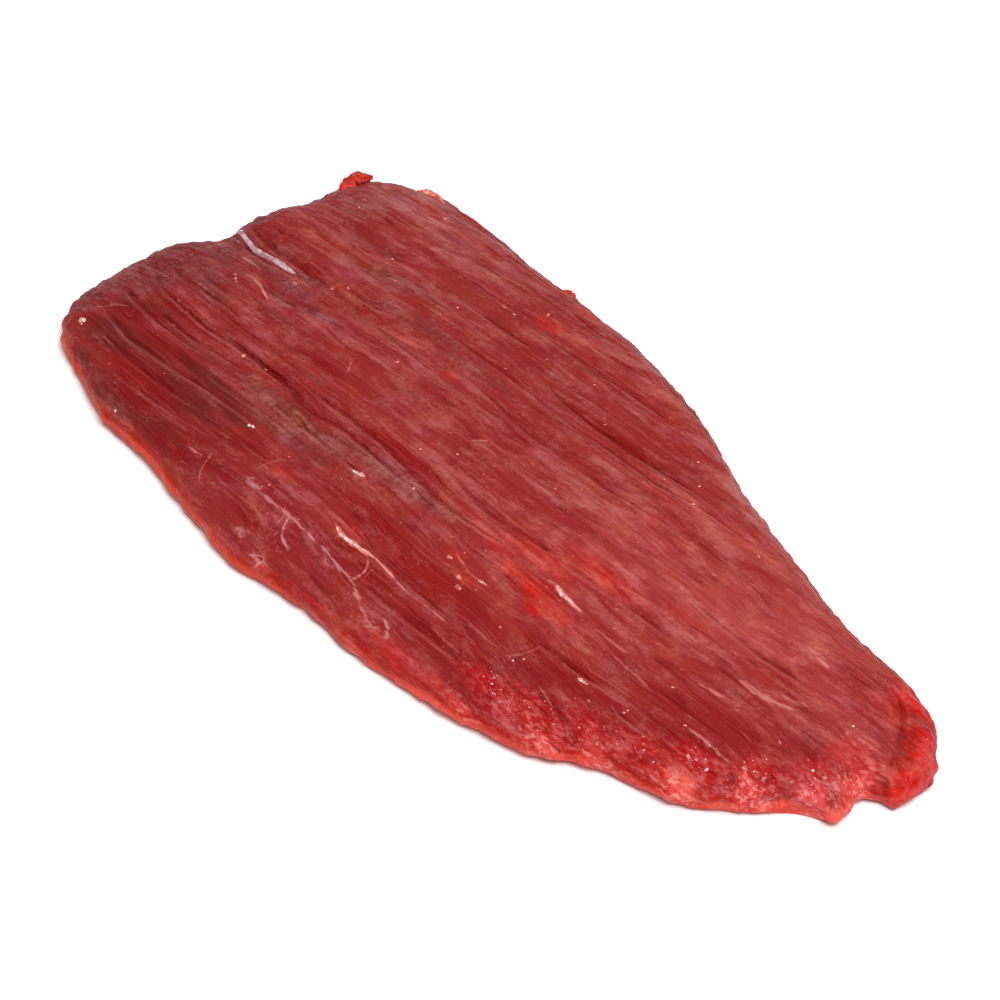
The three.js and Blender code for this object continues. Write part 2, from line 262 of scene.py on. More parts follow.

# %% [markdown]
# ## Step 7: stains and films
#
# No two hands' breadths of a raw steak have the same colour. A dried, greyish film lies over the
# old outer faces, the lean under it is deep red, fresh cuts are orange-red, and the thin side by
# the tip is pale and marbled. Some zones paint light as well: painted shade where less light falls,
# and a painted sheen where the surface catches the light. Each kind is painted as soft patches that
# are longer with the fibres than across them. A patch is its place, its half length, its half width
# and its strength. The net of fat is painted from two of them: full on the pale side, and faint on
# the wet one.

# %% Zones
ZONES = {
    "film": [
        (-60, -38, 40, 5, 1.0), (-12, -29, 28, 4, 1.0), (-98, -46, 26, 7, 0.4), (-98, 30, 30, 9, 0.6),
        (-142, 48, 16, 14, 0.6), (-110, -14, 26, 5, 0.6), (-78, -58, 30, 3.5, 0.5), (-40, -34, 26, 3, 0.7),
        (-132, -23, 18, 7, 0.7), (-66, -8, 34, 4, 0.3), (-20, 24, 30, 4, 0.35), (120, 0, 20, 6, 0.3),
        (-49, -45, 22, 4, 0.8), (-71, 22, 26, 5, 0.8), (-118, 28, 16, 5, 0.5), (-41, 22, 22, 4, 0.7),
        (-25, 43, 16, 3, 0.5), (-80, 44, 18, 4, 0.6), (-46, -3, 18, 3, 0.6), (-137, -48, 10, 4, 0.4),
        (-72, -22, 18, 3, 0.7), (-120, 39, 14, 4, 0.7), (-106, -42, 16, 4, 0.7), (-72, -53, 14, 3, 0.7),
    ],
    "tan": [
        (-62, -37, 28, 4, 1.0), (-28, -31, 22, 3, 1.0), (-44, -42, 18, 3, 0.7), (-70, -46, 18, 5, 0.7),
    ],
    # dried dusty film, and partly a painted sheen where light grazes the far side
    "dusty_and_sheen": [
        (-140, 65, 14, 8, 1.0), (-114, 62, 24, 7, 0.9), (-108, 24, 18, 6, 0.8), (-160, 50, 8, 10, 0.6),
        (62, 58, 24, 4.5, 1.0), (-92, 34, 22, 5, 0.5), (-134, 36, 14, 6, 0.4), (-90, 56, 20, 5, 0.9),
        (-105, 73, 22, 4, 0.9), (73, 52, 16, 4, 0.9), (39, 64, 14, 4, 0.9), (-136, 74, 12, 5, 1.0),
        (-80, 67, 16, 4, 0.8), (-70, 42, 14, 3, 0.7),
    ],
    # painted shade: places, mostly on the near shoulder by the square end, that are darker because less
    # light falls there
    "shade": [
        (-98, -60, 30, 8, 1.0), (-96, -49, 24, 4, 0.9), (-106, -71, 26, 4, 0.8), (-72, -52, 16, 5, 0.7),
        (-134, -60, 16, 9, 1.0), (-84, -72, 24, 5, 0.9), (-142, -50, 10, 6, 0.8), (-134, -42, 14, 4, 0.8),
        (-120, -54, 16, 5, 0.9), (-57, -13, 22, 3, 0.4), (-104, -74, 20, 4, 1.0), (-137, -72, 10, 4, 0.9),
        (-120, -77, 14, 3, 0.8), (-165, 44, 6, 6, 0.6),
    ],
    "mauve": [
        (-160, -40, 8, 16, 1.0), (-162, -14, 7, 14, 1.0), (-153, 4, 12, 7, 0.8), (-157, -58, 6, 5, 0.7),
        (-137, -12, 14, 8, 0.6), (-134, 10, 14, 6, 0.5), (-116, 1, 16, 7, 0.8), (-151, -20, 10, 9, 0.9),
        (-152, -45, 7, 6, 0.7), (-133, 0, 14, 6, 0.7), (-160, 16, 6, 5, 0.8), (-159, -26, 9, 10, 1.0),
        (-160, -51, 7, 9, 1.0), (-151, -8, 10, 8, 1.0), (-117, 9, 12, 4, 0.8), (-150, -33, 8, 12, 1.0),
        (-97, -1, 14, 4, 0.7), (-140, -19, 10, 6, 0.8), (-113, -6, 12, 4, 0.8),
    ],
    # rose-red lean, and partly a painted sheen: some patches lighten places that catch the light
    "rose_and_sheen": [
        (86, 14, 40, 12, 1.0), (50, 12, 26, 8, 0.9), (34, -8, 30, 6, 0.5), (-30, 62, 34, 7, 0.4),
        (64, 40, 36, 8, 1.0), (108, 30, 28, 12, 0.9), (-70, 66, 36, 6, 0.3), (-104, 34, 30, 8, 0.3),
        (136, 18, 18, 8, 0.6), (-56, 4, 30, 5, 0.35), (128, 36, 14, 5, 0.8), (34, 64, 20, 4, 0.7),
        (94, -2, 16, 4, 0.7), (-32, -24, 10, 2, 0.5), (90, 24, 24, 6, 0.9), (76, -1, 16, 4, 0.6),
        (55, 1, 18, 4, 0.9), (87, 52, 14, 3, 0.5), (57, 24, 16, 4, 0.9), (97, 44, 16, 4, 0.8),
        (113, -9, 14, 3, 0.7),
    ],
    # deep red lean, and partly painted shade: some patches darken places where less light falls
    "deep_red_and_shade": [
        (-2, -45, 26, 6, 0.9), (34, -46, 34, 8, 1.0), (88, -36, 34, 6, 1.0), (128, -14, 26, 6, 1.0),
        (-110, -64, 24, 6, 1.0), (-58, -58, 14, 7, 0.8), (-30, -21, 34, 2.4, 1.0), (14, 39, 40, 3.4, 0.9),
        (-36, 30, 30, 3.4, 0.6), (-132, 40, 14, 6, 0.6), (-84, 12, 24, 3.0, 0.7), (-128, -36, 24, 3, 0.8),
        (-50, 45, 16, 2.6, 0.6), (-146, 14, 12, 5, 0.9), (-120, 12, 16, 5, 0.7), (0, 20, 36, 3, 0.6),
        (60, -56, 24, 5, 0.9), (-38, 68, 20, 3, 0.4), (104, -20, 24, 5, 0.8), (-140, -50, 14, 5, 0.7),
        (20, 22, 22, 4, 0.5), (-88, -30, 24, 2.4, 0.7), (8, -60, 26, 6, 0.8), (95, -49, 20, 7, 1.0),
        (106, -33, 18, 6, 1.0), (120, -26, 18, 6, 1.0), (78, -46, 16, 6, 0.9), (137, -22, 12, 6, 0.9),
        (140, -2, 12, 4, 0.6), (-57, -13, 24, 3, 0.5), (-120, -51, 24, 5, 0.6), (-60, -68, 24, 5, 1.0),
        (44, -60, 24, 5, 0.8), (54, -52, 20, 4, 0.7), (-76, -74, 20, 3, 0.8), (-4, 29, 20, 3, 0.5),
        (-4, -13, 16, 3, 0.4), (10, 73, 14, 4, 1.0), (-25, -73, 18, 4, 0.9), (40, 35, 16, 3, 0.6),
        (-52, 14, 14, 3, 0.6), (-75, -16, 16, 3, 0.8), (-107, -26, 16, 3, 0.8), (82, -47, 12, 5, 1.0),
        (66, -64, 14, 3, 0.8), (97, -40, 14, 4, 0.9), (-114, -16, 14, 3, 0.7), (146, 4, 8, 3, 0.5),
        (41, -52, 14, 3, 0.9), (112, -31, 14, 3, 0.9), (-106, -70, 20, 5, 0.9), (-92, 7, 14, 2.5, 0.6),
        (-128, -43, 12, 3, 0.7), (-110, 6, 12, 3, 0.7),
    ],
    "membrane": [
        (-34, -66, 36, 8, 1.0), (6, -64, 28, 7, 0.6),
    ],
    "fresh": [
        (-4, -52.5, 7, 1.8, 1.0), (58, -5, 20, 5, 0.8), (60, -26, 12, 4, 0.9), (42, -15, 20, 5, 0.9),
        (48, -24, 16, 4, 0.9), (86, 4, 16, 3, 0.5), (30, -22, 12, 3, 0.7), (36, -36, 8, 5, 0.5),
        (24, -34, 5, 3, 0.7), (-47, 57, 6, 3, 1.0), (-44, 13, 5, 2.4, 0.7), (-72, 13.5, 16, 1.6, 0.5),
        (-39, -56, 7, 4.5, 0.6), (13, -20, 9, 2.4, 0.5), (-106, 13, 5, 2, 0.5), (118, 42, 20, 4, 0.5),
        (48, 23, 6, 1.6, 0.6), (150, 30, 10, 6, 0.6), (-20, 50, 16, 3, 0.4), (66, 42, 30, 3, 0.4),
        (156, 8, 7, 6, 1.0), (145, 43, 9, 4, 0.9), (42, -71, 16, 4, 0.8), (62, -68, 12, 3, 1.0),
        (-67, 80, 5, 3, 1.0), (-46, 75, 12, 3, 0.7), (163, 10, 4, 4, 0.9), (87, 52, 12, 3, 0.6),
        (98, -54, 12, 3, 0.8), (111, -46, 10, 3, 0.5),
    ],
    "bright": [
        (170, 18, 4, 6, 1.0), (167, 26, 5, 5, 1.0), (162, 31, 5, 4, 1.0), (152, 38, 9, 3.5, 0.9),
        (172, 12, 4, 4, 1.0), (-170, 62, 4, 9, 0.9), (51, -25.5, 4.5, 2.2, 0.9), (57, -30, 5, 2, 0.7),
        (54, -20, 4, 1.6, 0.7),
    ],
    # painted shade: a darker red in the valley of the fold at the tip
    "fold_shade": [
        (157, 29, 6, 3, 1.0), (162, 24, 4, 3, 1.0), (166, 18.5, 3, 4, 1.0), (150, 34, 7, 3, 0.8),
    ],
    "pale": [
        (102, -56, 16, 2.6, 0.9), (119, -46, 16, 3.0, 1.0), (137, -36, 12, 3.2, 1.0),
        (150, -22, 8, 4.5, 1.0), (160, -10, 5, 5, 0.9), (163, 4, 4, 6, 0.9), (154, 12, 8, 3, 0.3),
        (72, -66, 12, 2.0, 0.5),
    ],
    "wet": [
        (74, -58, 14, 4.5, 1.0), (90, -53, 16, 5.5, 1.0), (104, -44, 14, 6, 0.8), (120, -37, 14, 6, 0.9),
        (132, -28, 12, 6, 1.0), (146, -17, 9, 6, 1.0), (155, -5, 8, 7, 1.0),
    ],
    "web": [
        (-40, -65, 10, 3, 1.0), (-29, -78, 8, 4, 0.9), (-18, -79, 9, 3, 0.9), (0, -66, 12, 4, 0.8),
        (30, -69, 10, 3, 0.9), (-120, 2, 8, 4, 0.7), (-72, -66, 26, 8, 0.3), (-10, -70, 20, 5, 0.7),
    ],
    "ridged": [
        (-92, -46, 52, 15, 0.7), (-14, 34, 60, 16, 0.6), (70, 24, 44, 18, 0.5), (-70, -20, 60, 10, 0.5),
        (60, -10, 50, 10, 0.4),
    ],
}
FAINT_NET = 0.2                  # how much of the net of fat the wet side has

cover = {}
for name, patches in ZONES.items():
    cover[name] = np.zeros(len(X))
    for x, y, along, across, strength in patches:
        away = ((X - x) / along) ** 2 + ((LANE - lane_of(x, y)) / across) ** 2
        cover[name] = np.maximum(cover[name], strength * np.exp(-away))
    print(name, len(patches), "patches")
cover["netted"] = cover["pale"] + FAINT_NET * cover["wet"]
for name, values in cover.items():
    paint(name, values)

# %% [markdown]
# The cut rim is orange-red where it turns down to the table. On the near side, low down, it is
# lighter still: a painted glow towards the tip and a painted lit foot towards the square end stand
# in for light that shines through the thin meat and falls on its low face. At the square end the old
# film still covers the rim, and partly along the far side too. Each of these places is the product
# of a few soft ramps.

# %% Rims
RAMPS = {
    # what is measured, where the ramp is 0 and where it is 1: mm, or the share that faces up
    "edge": [(UP, 0.97, 0.80)],
    "loose": [(Z, 0.3, 2.5)],
    "rim": [(Z, 13.0, 4.0), (UP, 0.97, 0.5)],
    "near_side": [(Y, 20.0, 0.0)],
    # painted light: a lighter rim low on the near side, towards the tip
    "painted_glow": [(Z, 9.0, 2.0), (X, -40.0, 70.0)],
    # painted light: the low foot of the near side, brighter towards the square end
    "painted_light_foot": [(Z, 8.5, 3.5), (X, 40.0, -40.0)],
    "old_end": [(X, -142.0, -156.0), (Y, 50.0, 40.0), (Y, -66.0, -56.0)],
    "far_side": [(Y, 45.0, 60.0)],
}
FAR_FILM = 0.5                   # how much the film covers along the far side
HIDDEN = 0.9                     # how much of the rim's colour the film hides


def ramp(values, start, end):
    """0 at start, 1 at end, with soft ends. Start may be above end."""
    t = np.clip((values - start) / (end - start), 0, 1)
    return t * t * (3 - 2 * t)


rims = {name: math.prod(ramp(*one) for one in ramps) for name, ramps in RAMPS.items()}
rims["painted_glow"] *= rims["rim"] * rims["near_side"]
rims["painted_light_foot"] *= rims["near_side"]
rims["rim"] *= 1 - HIDDEN * np.maximum(rims["old_end"], FAR_FILM * rims["far_side"])
for name in ("edge", "loose", "rim", "painted_glow", "painted_light_foot"):
    paint(name, rims[name])
    print(name, "covers", round(100 * float(rims[name].mean())), "% of the points")

# %% [markdown]
# ## Step 8: creases and strands
#
# The deep creases are where two muscle bundles part, and the thin pale lines are strands of
# connective tissue that the knife left. They are few and each is known by its place, so they are
# drawn as lines with their own width at each point. Each point of the mesh near a line keeps its
# signed distance to it, counted in half widths. A signed distance blends evenly from point to
# point, so the shader can draw a line that is thinner than the mesh's own squares. Two lines that
# lie close together would disturb each other, so the lines are dealt out to groups in which they
# keep apart, and each group is kept under its own name.

# %% Creases
CREASES = [
    # depth as a share of the deepest, then (x, y, half width) in mm
    (1.0, [(-152, -33, 0.6), (-140, -34.2, 0.8), (-128, -34, 0.8), (-118, -34, 0.9), (-110, -33, 0.9),
           (-104, -31.6, 1.0), (-96, -31, 1.0), (-88, -30.4, 1.0), (-80, -30, 1.3), (-72, -30.2, 1.5),
           (-64, -31.4, 1.6), (-58, -31.2, 1.5), (-51, -29.4, 1.2), (-42, -28.2, 0.9), (-30, -28, 0.8),
           (-18, -28, 0.7), (-6, -28.2, 0.5)]),
    (0.9, [(-66, -25.4, 0.5), (-58, -25.4, 0.8), (-50, -24.2, 1.0), (-40, -23.6, 1.2), (-30, -23, 1.4),
           (-24, -22.8, 1.2), (-16, -23.2, 1.3), (-8, -23.8, 1.6), (0, -24, 1.6), (8, -23.6, 1.3),
           (16, -22.8, 0.9), (26, -21.2, 0.6), (36, -19.6, 0.4)]),
    (0.8, [(-154, -43, 0.6), (-146, -44.4, 1.0), (-138, -44.6, 1.1), (-128, -44.4, 1.0), (-118, -43.6, 0.7),
           (-106, -42.4, 0.5)]),
    (0.7, [(-132, -41.2, 0.6), (-124, -40.6, 0.9), (-116, -40, 0.9), (-108, -38.8, 0.8), (-98, -37.6, 0.6),
           (-90, -37, 0.4)]),
    (0.7, [(-152, -24.8, 0.6), (-145, -25.4, 1.0), (-138, -24.6, 1.0), (-130, -23.6, 0.8),
           (-122, -22.6, 0.6), (-112, -23, 0.4)]),
    (0.4, [(-146, -20, 0.5), (-134, -19.4, 0.7), (-122, -19, 0.5)]),
    (0.4, [(-136, -27.4, 0.5), (-126, -26, 0.7), (-114, -25.6, 0.6), (-100, -25, 0.6), (-86, -24, 0.5),
           (-74, -24.4, 0.4)]),
    (0.7, [(-152, -54, 0.6), (-141, -55, 0.9), (-130, -56.6, 0.9), (-120, -55.4, 0.8), (-110, -54.6, 0.8),
           (-100, -52.8, 0.8), (-90, -51.2, 0.8), (-80, -50.4, 0.7), (-68, -49.4, 0.5)]),
    (0.4, [(-142, -60, 0.5), (-130, -61.8, 0.7), (-118, -61.8, 0.7), (-106, -60.8, 0.7), (-92, -59.6, 0.6),
           (-80, -58, 0.5)]),
    (0.4, [(-122, -69, 0.5), (-108, -68.4, 0.7), (-94, -66.4, 0.6), (-80, -64.4, 0.5), (-68, -62.6, 0.4)]),
    (0.5, [(-98, -47, 0.5), (-86, -46.4, 0.7), (-76, -45.4, 0.7), (-66, -44, 0.7), (-54, -43, 0.6),
           (-42, -42.4, 0.4)]),
    (0.7, [(-72, -39.2, 0.5), (-62, -38.6, 0.8), (-55, -38.4, 1.0), (-48, -37.6, 0.9), (-40, -36.8, 0.8),
           (-32, -36.2, 0.7), (-22, -36, 0.6)]),
    (0.5, [(-16, -36, 0.8), (-6, -36.6, 1.4), (4, -36.8, 1.4), (13, -37, 0.8)]),
    (0.6, [(-99, 8.4, 0.8), (-93, 8.8, 1.2), (-86, 9.4, 1.0), (-78, 10.4, 0.7), (-66, 10.6, 0.6),
           (-52, 10.8, 0.5), (-40, 11.4, 0.4)]),
    (0.8, [(-104, 14.6, 0.7), (-97, 15.4, 1.1), (-90, 16, 1.0), (-85, 16.6, 0.5)]),
    (0.5, [(-90, 32.8, 0.5), (-82, 33.6, 0.9), (-74, 34.6, 0.6)]),
    (0.8, [(-74, 42.6, 0.5), (-64, 43.4, 0.9), (-56, 44, 1.2), (-48, 44.4, 1.0), (-40, 45.6, 0.5)]),
    (0.4, [(-62, 35.2, 0.5), (-53, 36.8, 0.8), (-45, 38, 0.6)]),
    (0.5, [(-60, 27, 0.6), (-50, 27.6, 0.9), (-40, 29, 0.9), (-30, 29.8, 0.9), (-20, 30, 0.7),
           (-12, 30.4, 0.4)]),
    (0.6, [(-136, 62.4, 0.6), (-129, 62.6, 1.1), (-122, 63.4, 0.5)]),
    (0.5, [(-152, 64.6, 0.7), (-146, 65.4, 1.2), (-138, 66.4, 0.8), (-130, 67, 0.4)]),
    (0.5, [(-78, 73.4, 0.6), (-68, 74, 1.2), (-58, 75, 0.6)]),
    (0.4, [(-112, 73, 0.5), (-98, 73.4, 0.8), (-84, 73.6, 0.5)]),
    (0.4, [(-136, 53, 0.5), (-129, 53.4, 0.9), (-122, 54, 0.4)]),
    (0.4, [(-114, -6.6, 0.5), (-106, -5.6, 0.9), (-99, -5, 0.6)]),
    (0.7, [(-42, 53.4, 0.5), (-32, 54.4, 0.8), (-22, 55.8, 1.0), (-14, 57, 1.0), (-6, 58.2, 1.0),
           (4, 58.8, 0.8), (14, 60.2, 0.5)]),
    (0.5, [(-32, 61.6, 0.5), (-22, 63.4, 0.7), (-12, 65.4, 0.7), (-3, 67, 0.5)]),
    (0.8, [(-52, 69.4, 0.6), (-42, 69.6, 1.2), (-34, 69.4, 1.3), (-27, 70.6, 1.0), (-18, 72.8, 0.7),
           (-10, 73.6, 0.4)]),
    (0.8, [(-24, 37.8, 0.5), (-14, 36.6, 0.9), (-4, 36.8, 1.0), (6, 36.8, 0.9), (14, 38.2, 1.2),
           (22, 38.8, 1.3), (30, 40, 0.9), (42, 42.6, 0.7), (52, 44.6, 0.4)]),
    (0.8, [(4, 32.4, 0.5), (12, 33.2, 0.9), (20, 34.2, 1.0), (30, 34.8, 1.1), (38, 35.6, 0.9),
           (46, 37.6, 0.6), (54, 40, 0.6), (62, 41, 0.9), (70, 42.4, 1.1), (78, 44, 1.0), (86, 45, 0.6)]),
    (0.5, [(-44, 18.4, 0.5), (-34, 17.6, 0.8), (-24, 17.8, 0.8), (-12, 17.2, 1.0), (-2, 17.4, 0.8),
           (8, 19, 1.0), (18, 20.2, 1.1), (28, 20.6, 0.9), (38, 22.6, 0.7), (48, 24.6, 0.7),
           (58, 26.2, 0.8), (70, 28.2, 0.9), (82, 30, 0.7), (92, 31.4, 0.4)]),
    (0.4, [(14, 5.2, 0.5), (26, 6.2, 1.0), (38, 8, 1.2), (46, 10, 0.5)]),
    (0.6, [(6, -16.4, 0.5), (16, -15.4, 0.8), (24, -13.8, 0.9), (34, -12.2, 0.8), (44, -10.4, 0.5)]),
    (0.6, [(50, -10, 0.5), (60, -8, 0.9), (70, -6.4, 0.9), (80, -5, 0.8), (90, -3.6, 0.7),
           (102, -2, 0.5)]),
    (0.4, [(60, 20, 0.4), (70, 20.8, 0.7), (80, 21.6, 0.7), (88, 22.4, 0.4)]),
    (0.6, [(82, 10.2, 0.4), (94, 11, 0.6), (104, 12, 0.8), (113, 12.6, 1.0), (121, 13.8, 0.8),
           (130, 15.6, 0.4)]),
    (0.4, [(54, 7, 0.4), (66, 8.4, 0.7), (78, 9.6, 0.5)]),
    (0.4, [(114, 31, 0.4), (122, 32.6, 1.0), (130, 33.2, 0.8), (136, 34, 0.4)]),
    (0.7, [(68, -36, 0.6), (76, -34.4, 1.2), (84, -33.4, 1.1), (92, -32, 0.5)]),
    (0.7, [(-14, -52, 0.4), (-4, -51.8, 0.9), (6, -51.2, 0.7)]),
    (0.6, [(18, -52.2, 0.5), (28, -51.6, 0.8), (38, -51.2, 0.8), (50, -50.4, 0.5)]),
    (0.6, [(14, -62.4, 0.5), (26, -61.8, 0.9), (36, -60.8, 0.9), (48, -59.4, 0.7), (60, -58.4, 0.4)]),
    (0.6, [(-60, -57, 0.5), (-53, -56.4, 1.0), (-46, -56, 0.5)]),
    (0.5, [(-12, -59.6, 0.5), (-4, -59.8, 0.9), (4, -59, 0.5)]),
    (0.5, [(-8, -72.4, 0.6), (4, -72, 1.2), (14, -71, 0.8)]),
    (0.8, [(-160, 12, 0.6), (-152, 10, 1.0), (-144, 9, 1.1), (-134, 9, 0.9), (-124, 10, 0.9),
           (-116, 9, 0.5)]),
    (0.6, [(-162, 5.6, 0.5), (-152, 4, 0.9), (-142, 3.4, 0.8), (-132, 3.6, 0.5)]),
    (0.5, [(168.5, 10.5, 1.0), (166, 14, 1.4), (162, 21, 1.6), (158, 27, 1.4), (152, 33, 1.0),
           (146, 36, 0.6)]),
    (0.4, [(40, -23, 0.4), (50, -22.4, 0.7), (60, -22, 0.5)]),
]
print(len(CREASES), "creases")

# %% Strands
STRANDS = [
    # how much it covers, then (x, y, half width) in mm
    (0.75, [(-10, -56, 0.3), (-5, -57, 1.0), (0, -56.5, 1.1), (5, -55.5, 0.9), (9, -54.5, 0.8),
            (14, -54.3, 0.7), (20, -54.5, 0.5), (30, -55.5, 0.3)]),
    (0.33, [(33, -54.2, 0.3), (39, -53.5, 0.5), (46, -53.3, 0.3)]),
    (0.42, [(-46, -65.6, 0.5), (-42, -66.2, 1.3), (-36, -66.4, 0.7), (-27, -65.6, 0.6), (-19, -64.6, 0.9),
            (-11, -64.6, 0.4), (-2, -63.6, 0.5), (3, -64.6, 0.5), (8, -64.6, 0.6), (12, -64.6, 0.6),
            (16, -65.6, 0.7), (20, -67.6, 0.7), (27, -69, 0.5), (31, -69.6, 0.3)]),
    (0.8, [(50, -19.5, 0.3), (54, -18.6, 0.9), (58, -19.5, 1.1), (62, -19, 0.8), (68, -19, 0.3)]),
    (0.25, [(72, -20, 0.3), (79, -19.5, 0.5), (88, -18.6, 0.3)]),
    (0.22, [(84, -22.3, 0.3), (91, -22.1, 0.5), (97, -21.5, 0.6), (104, -22.1, 0.3)]),
    (0.33, [(23, -33.3, 0.5), (28, -34.4, 0.6), (31, -35.4, 0.5), (36, -35.4, 0.5), (39, -34.4, 0.8),
            (41.5, -34.4, 0.3)]),
    (0.6, [(-28, -37.6, 0.3), (-26, -37, 0.7), (-23, -36, 0.7), (-21, -35.4, 0.3)]),
    (0.35, [(120, -22.6, 0.3), (126, -22, 0.8), (130, -21.6, 0.8), (135, -21.2, 0.4), (141, -20.4, 0.2)]),
    (0.35, [(117, 25.8, 0.3), (122, 25.6, 0.7), (126, 25, 0.7), (129, 24.6, 0.3)]),
    (0.4, [(112, 0.5, 0.3), (118, 1.5, 0.7), (124, 2.1, 0.9), (128, 3.5, 0.9), (132.5, 5.5, 0.8),
           (135, 7.1, 0.3)]),
    (0.2, [(124, 5.9, 0.4), (130, 7.5, 1.5), (136, 10.5, 0.5)]),
    (0.2, [(106, -9.7, 0.3), (112, -8.3, 0.6), (117, -6.9, 0.6), (123, -5.5, 0.3)]),
    (0.25, [(108, -9.6, 0.3), (113, -8.2, 0.4), (118, -7.1, 0.3)]),
    (0.18, [(99, -33.9, 0.3), (104, -34.7, 0.6), (109, -34.3, 0.7), (114, -32.9, 0.4), (118, -32.7, 0.3)]),
    (0.22, [(81, -46.8, 0.3), (86, -47, 0.4), (90, -48, 0.3)]),
    (0.2, [(62, -47.2, 0.3), (55, -47.6, 0.5), (48, -48, 0.3)]),
    (0.5, [(-144, -2.3, 0.3), (-138, -1.7, 0.7), (-132, -2.1, 0.3)]),
    (0.65, [(-131, -8.8, 0.5), (-128, -7.2, 0.7), (-123, -8.2, 0.6), (-114, -10.6, 0.3)]),
    (0.4, [(-70, -70.5, 0.3), (-66, -70.1, 0.6), (-62.5, -69.9, 0.3)]),
    (0.3, [(-14.4, -0.9, 0.3), (-12, 2.1, 0.7), (-10.4, 5.3, 0.3)]),
    (0.25, [(-70, -7.8, 0.3), (-67, -9.3, 0.5), (-65, -12.3, 0.3)]),
    (0.15, [(34, 21.5, 0.4), (44, 21.9, 0.6), (56, 23.5, 0.4)]),
    (0.15, [(60, -56.6, 0.3), (52, -57.6, 0.5), (44, -57.6, 0.3)]),
    (0.5, [(-21, -64.6, 0.4), (-19.4, -67.6, 0.6), (-18, -70.4, 0.5), (-15, -71.2, 0.5),
           (-12, -71.6, 0.8)]),
    (0.4, [(12, -65.4, 0.4), (12.6, -62.2, 0.6), (12.8, -59.2, 0.5), (9, -56.2, 0.4)]),
    (0.4, [(30, -65.4, 0.3), (32, -66, 0.5), (35, -67, 0.6), (36, -69, 0.7)]),
    (0.15, [(-44.6, -61, 0.4), (-44.8, -56, 0.5), (-43, -51, 0.4)]),
    (0.25, [(-61, -67.6, 0.5), (-60, -70.6, 0.4), (-59, -73, 0.4), (-55.6, -76.4, 0.5)]),
    (0.2, [(70, -37, 0.3), (69, -42, 0.5), (66, -48, 0.3)]),
    (0.2, [(-153, -56, 0.3), (-150, -53, 0.7), (-147, -49.6, 0.8), (-143.5, -47.6, 0.4)]),
]
print(len(STRANDS), "strands")

# %% Paths and groups
REACH = 2.6                      # mm to each side that a line is known
SPARE = 1                        # mm between the reaches of two lines in a group
STEP = 0.4                       # mm from point to point of a line
CORNER_ROUNDS = 40               # how often its corners are rounded


def smooth_path(points, step=STEP):
    """Even steps in mm along straight pieces through (x, y, half width), with rounded corners."""
    points = np.array(points, float)
    gone = np.r_[0, np.cumsum(np.hypot(*np.diff(points[:, :2], axis=0).T))]
    at = np.linspace(0, gone[-1], math.ceil(gone[-1] / step) + 1)
    path = np.stack([np.interp(at, gone, points[:, k]) for k in range(3)], 1)
    for _ in range(CORNER_ROUNDS):
        path[1:-1] = (path[:-2] + 2 * path[1:-1] + path[2:]) / 4
    return path


def gap_between(path, other):
    """The shortest distance in mm between two paths."""
    return np.hypot(*(path[:, None, :2] - other[None, :, :2]).transpose(2, 0, 1)).min()


def deal_out(lines):
    """Groups of (strength, path) in which no two paths come closer than both their reaches."""
    groups = []
    for strength, points in lines:
        path = smooth_path(points)
        free = (g for g in groups if all(gap_between(path, other) > 2 * REACH + SPARE for _, other in g))
        group = next(free, None)
        if group is None:
            group = []
            groups.append(group)
        group.append((strength, path))
    return groups


line_groups = {"crease": deal_out(CREASES), "strand": deal_out(STRANDS)}
print("groups", {kind: len(groups) for kind, groups in line_groups.items()})

# %% Paint the lines
FAR_OFF = 6.0                    # distance in half widths that is kept where no line is near
LEAST_UP = 0.2                   # a line is drawn only where the surface faces up by this share
LEAST_HEIGHT = 5                 # and lies at least so many mm over the table
END_FADE = (-0.01, 0.12)         # share of its length over which each end of a line fades in
SURE = 0.6                       # share of the reach within which a line is at its full strength


def paint_group(name, group):
    """Stores for each point its signed distance to the nearest line, and that line's strength."""
    distance = np.full(len(X), FAR_OFF)
    power = np.zeros(len(X))
    for strength, path in group:
        lowest, highest = path[:, :2].min(0) - REACH, path[:, :2].max(0) + REACH
        boxed = (X > lowest[0]) & (X < highest[0]) & (Y > lowest[1]) & (Y < highest[1])
        close = np.nonzero(boxed & (UP > LEAST_UP) & (Z > LEAST_HEIGHT))[0]
        gaps = np.hypot(X[close, None] - path[None, :, 0], Y[close, None] - path[None, :, 1])
        nearest, gap = gaps.argmin(1), gaps.min(1)
        run = np.gradient(path[:, :2], axis=0)[nearest]
        off = np.stack([X[close], Y[close]], 1) - path[nearest, :2]
        sign = np.sign(run[:, 0] * off[:, 1] - run[:, 1] * off[:, 0])
        share = nearest / (len(path) - 1)
        ends = ramp(np.minimum(share, 1 - share), *END_FADE)
        known = gap < REACH
        distance[close[known]] = (sign * gap / path[nearest, 2])[known]
        power[close[known]] = (strength * ends * ramp(gap, REACH, SURE * REACH))[known]
    paint(name + "_side", np.clip(distance, -FAR_OFF, FAR_OFF))
    paint(name + "_near", power)


for kind, groups in line_groups.items():
    for number, group in enumerate(groups):
        paint_group(f"{kind}_{number}", group)
        print(kind, number, "has", len(group), "lines")

# %% [markdown]
# ## Step 9: one pattern for dents and colour
#
# Where bundles of fibres part there is a dent, and the same place is made dark, partly by juice and
# partly as painted shade. So the pattern of bundles, threads and grooves is built by one function,
# which adds the same nodes to the relief and to the material. Noise that is stretched along the lanes
# gives bundles. A groove is the place where such a noise passes through its middle value, which makes
# lines that fork and join, and a second noise breaks them into lengths, since no fibre lies open from
# end to end. A small function adds a node to any tree, and a few more put nodes together to sums,
# products, masks and lines.

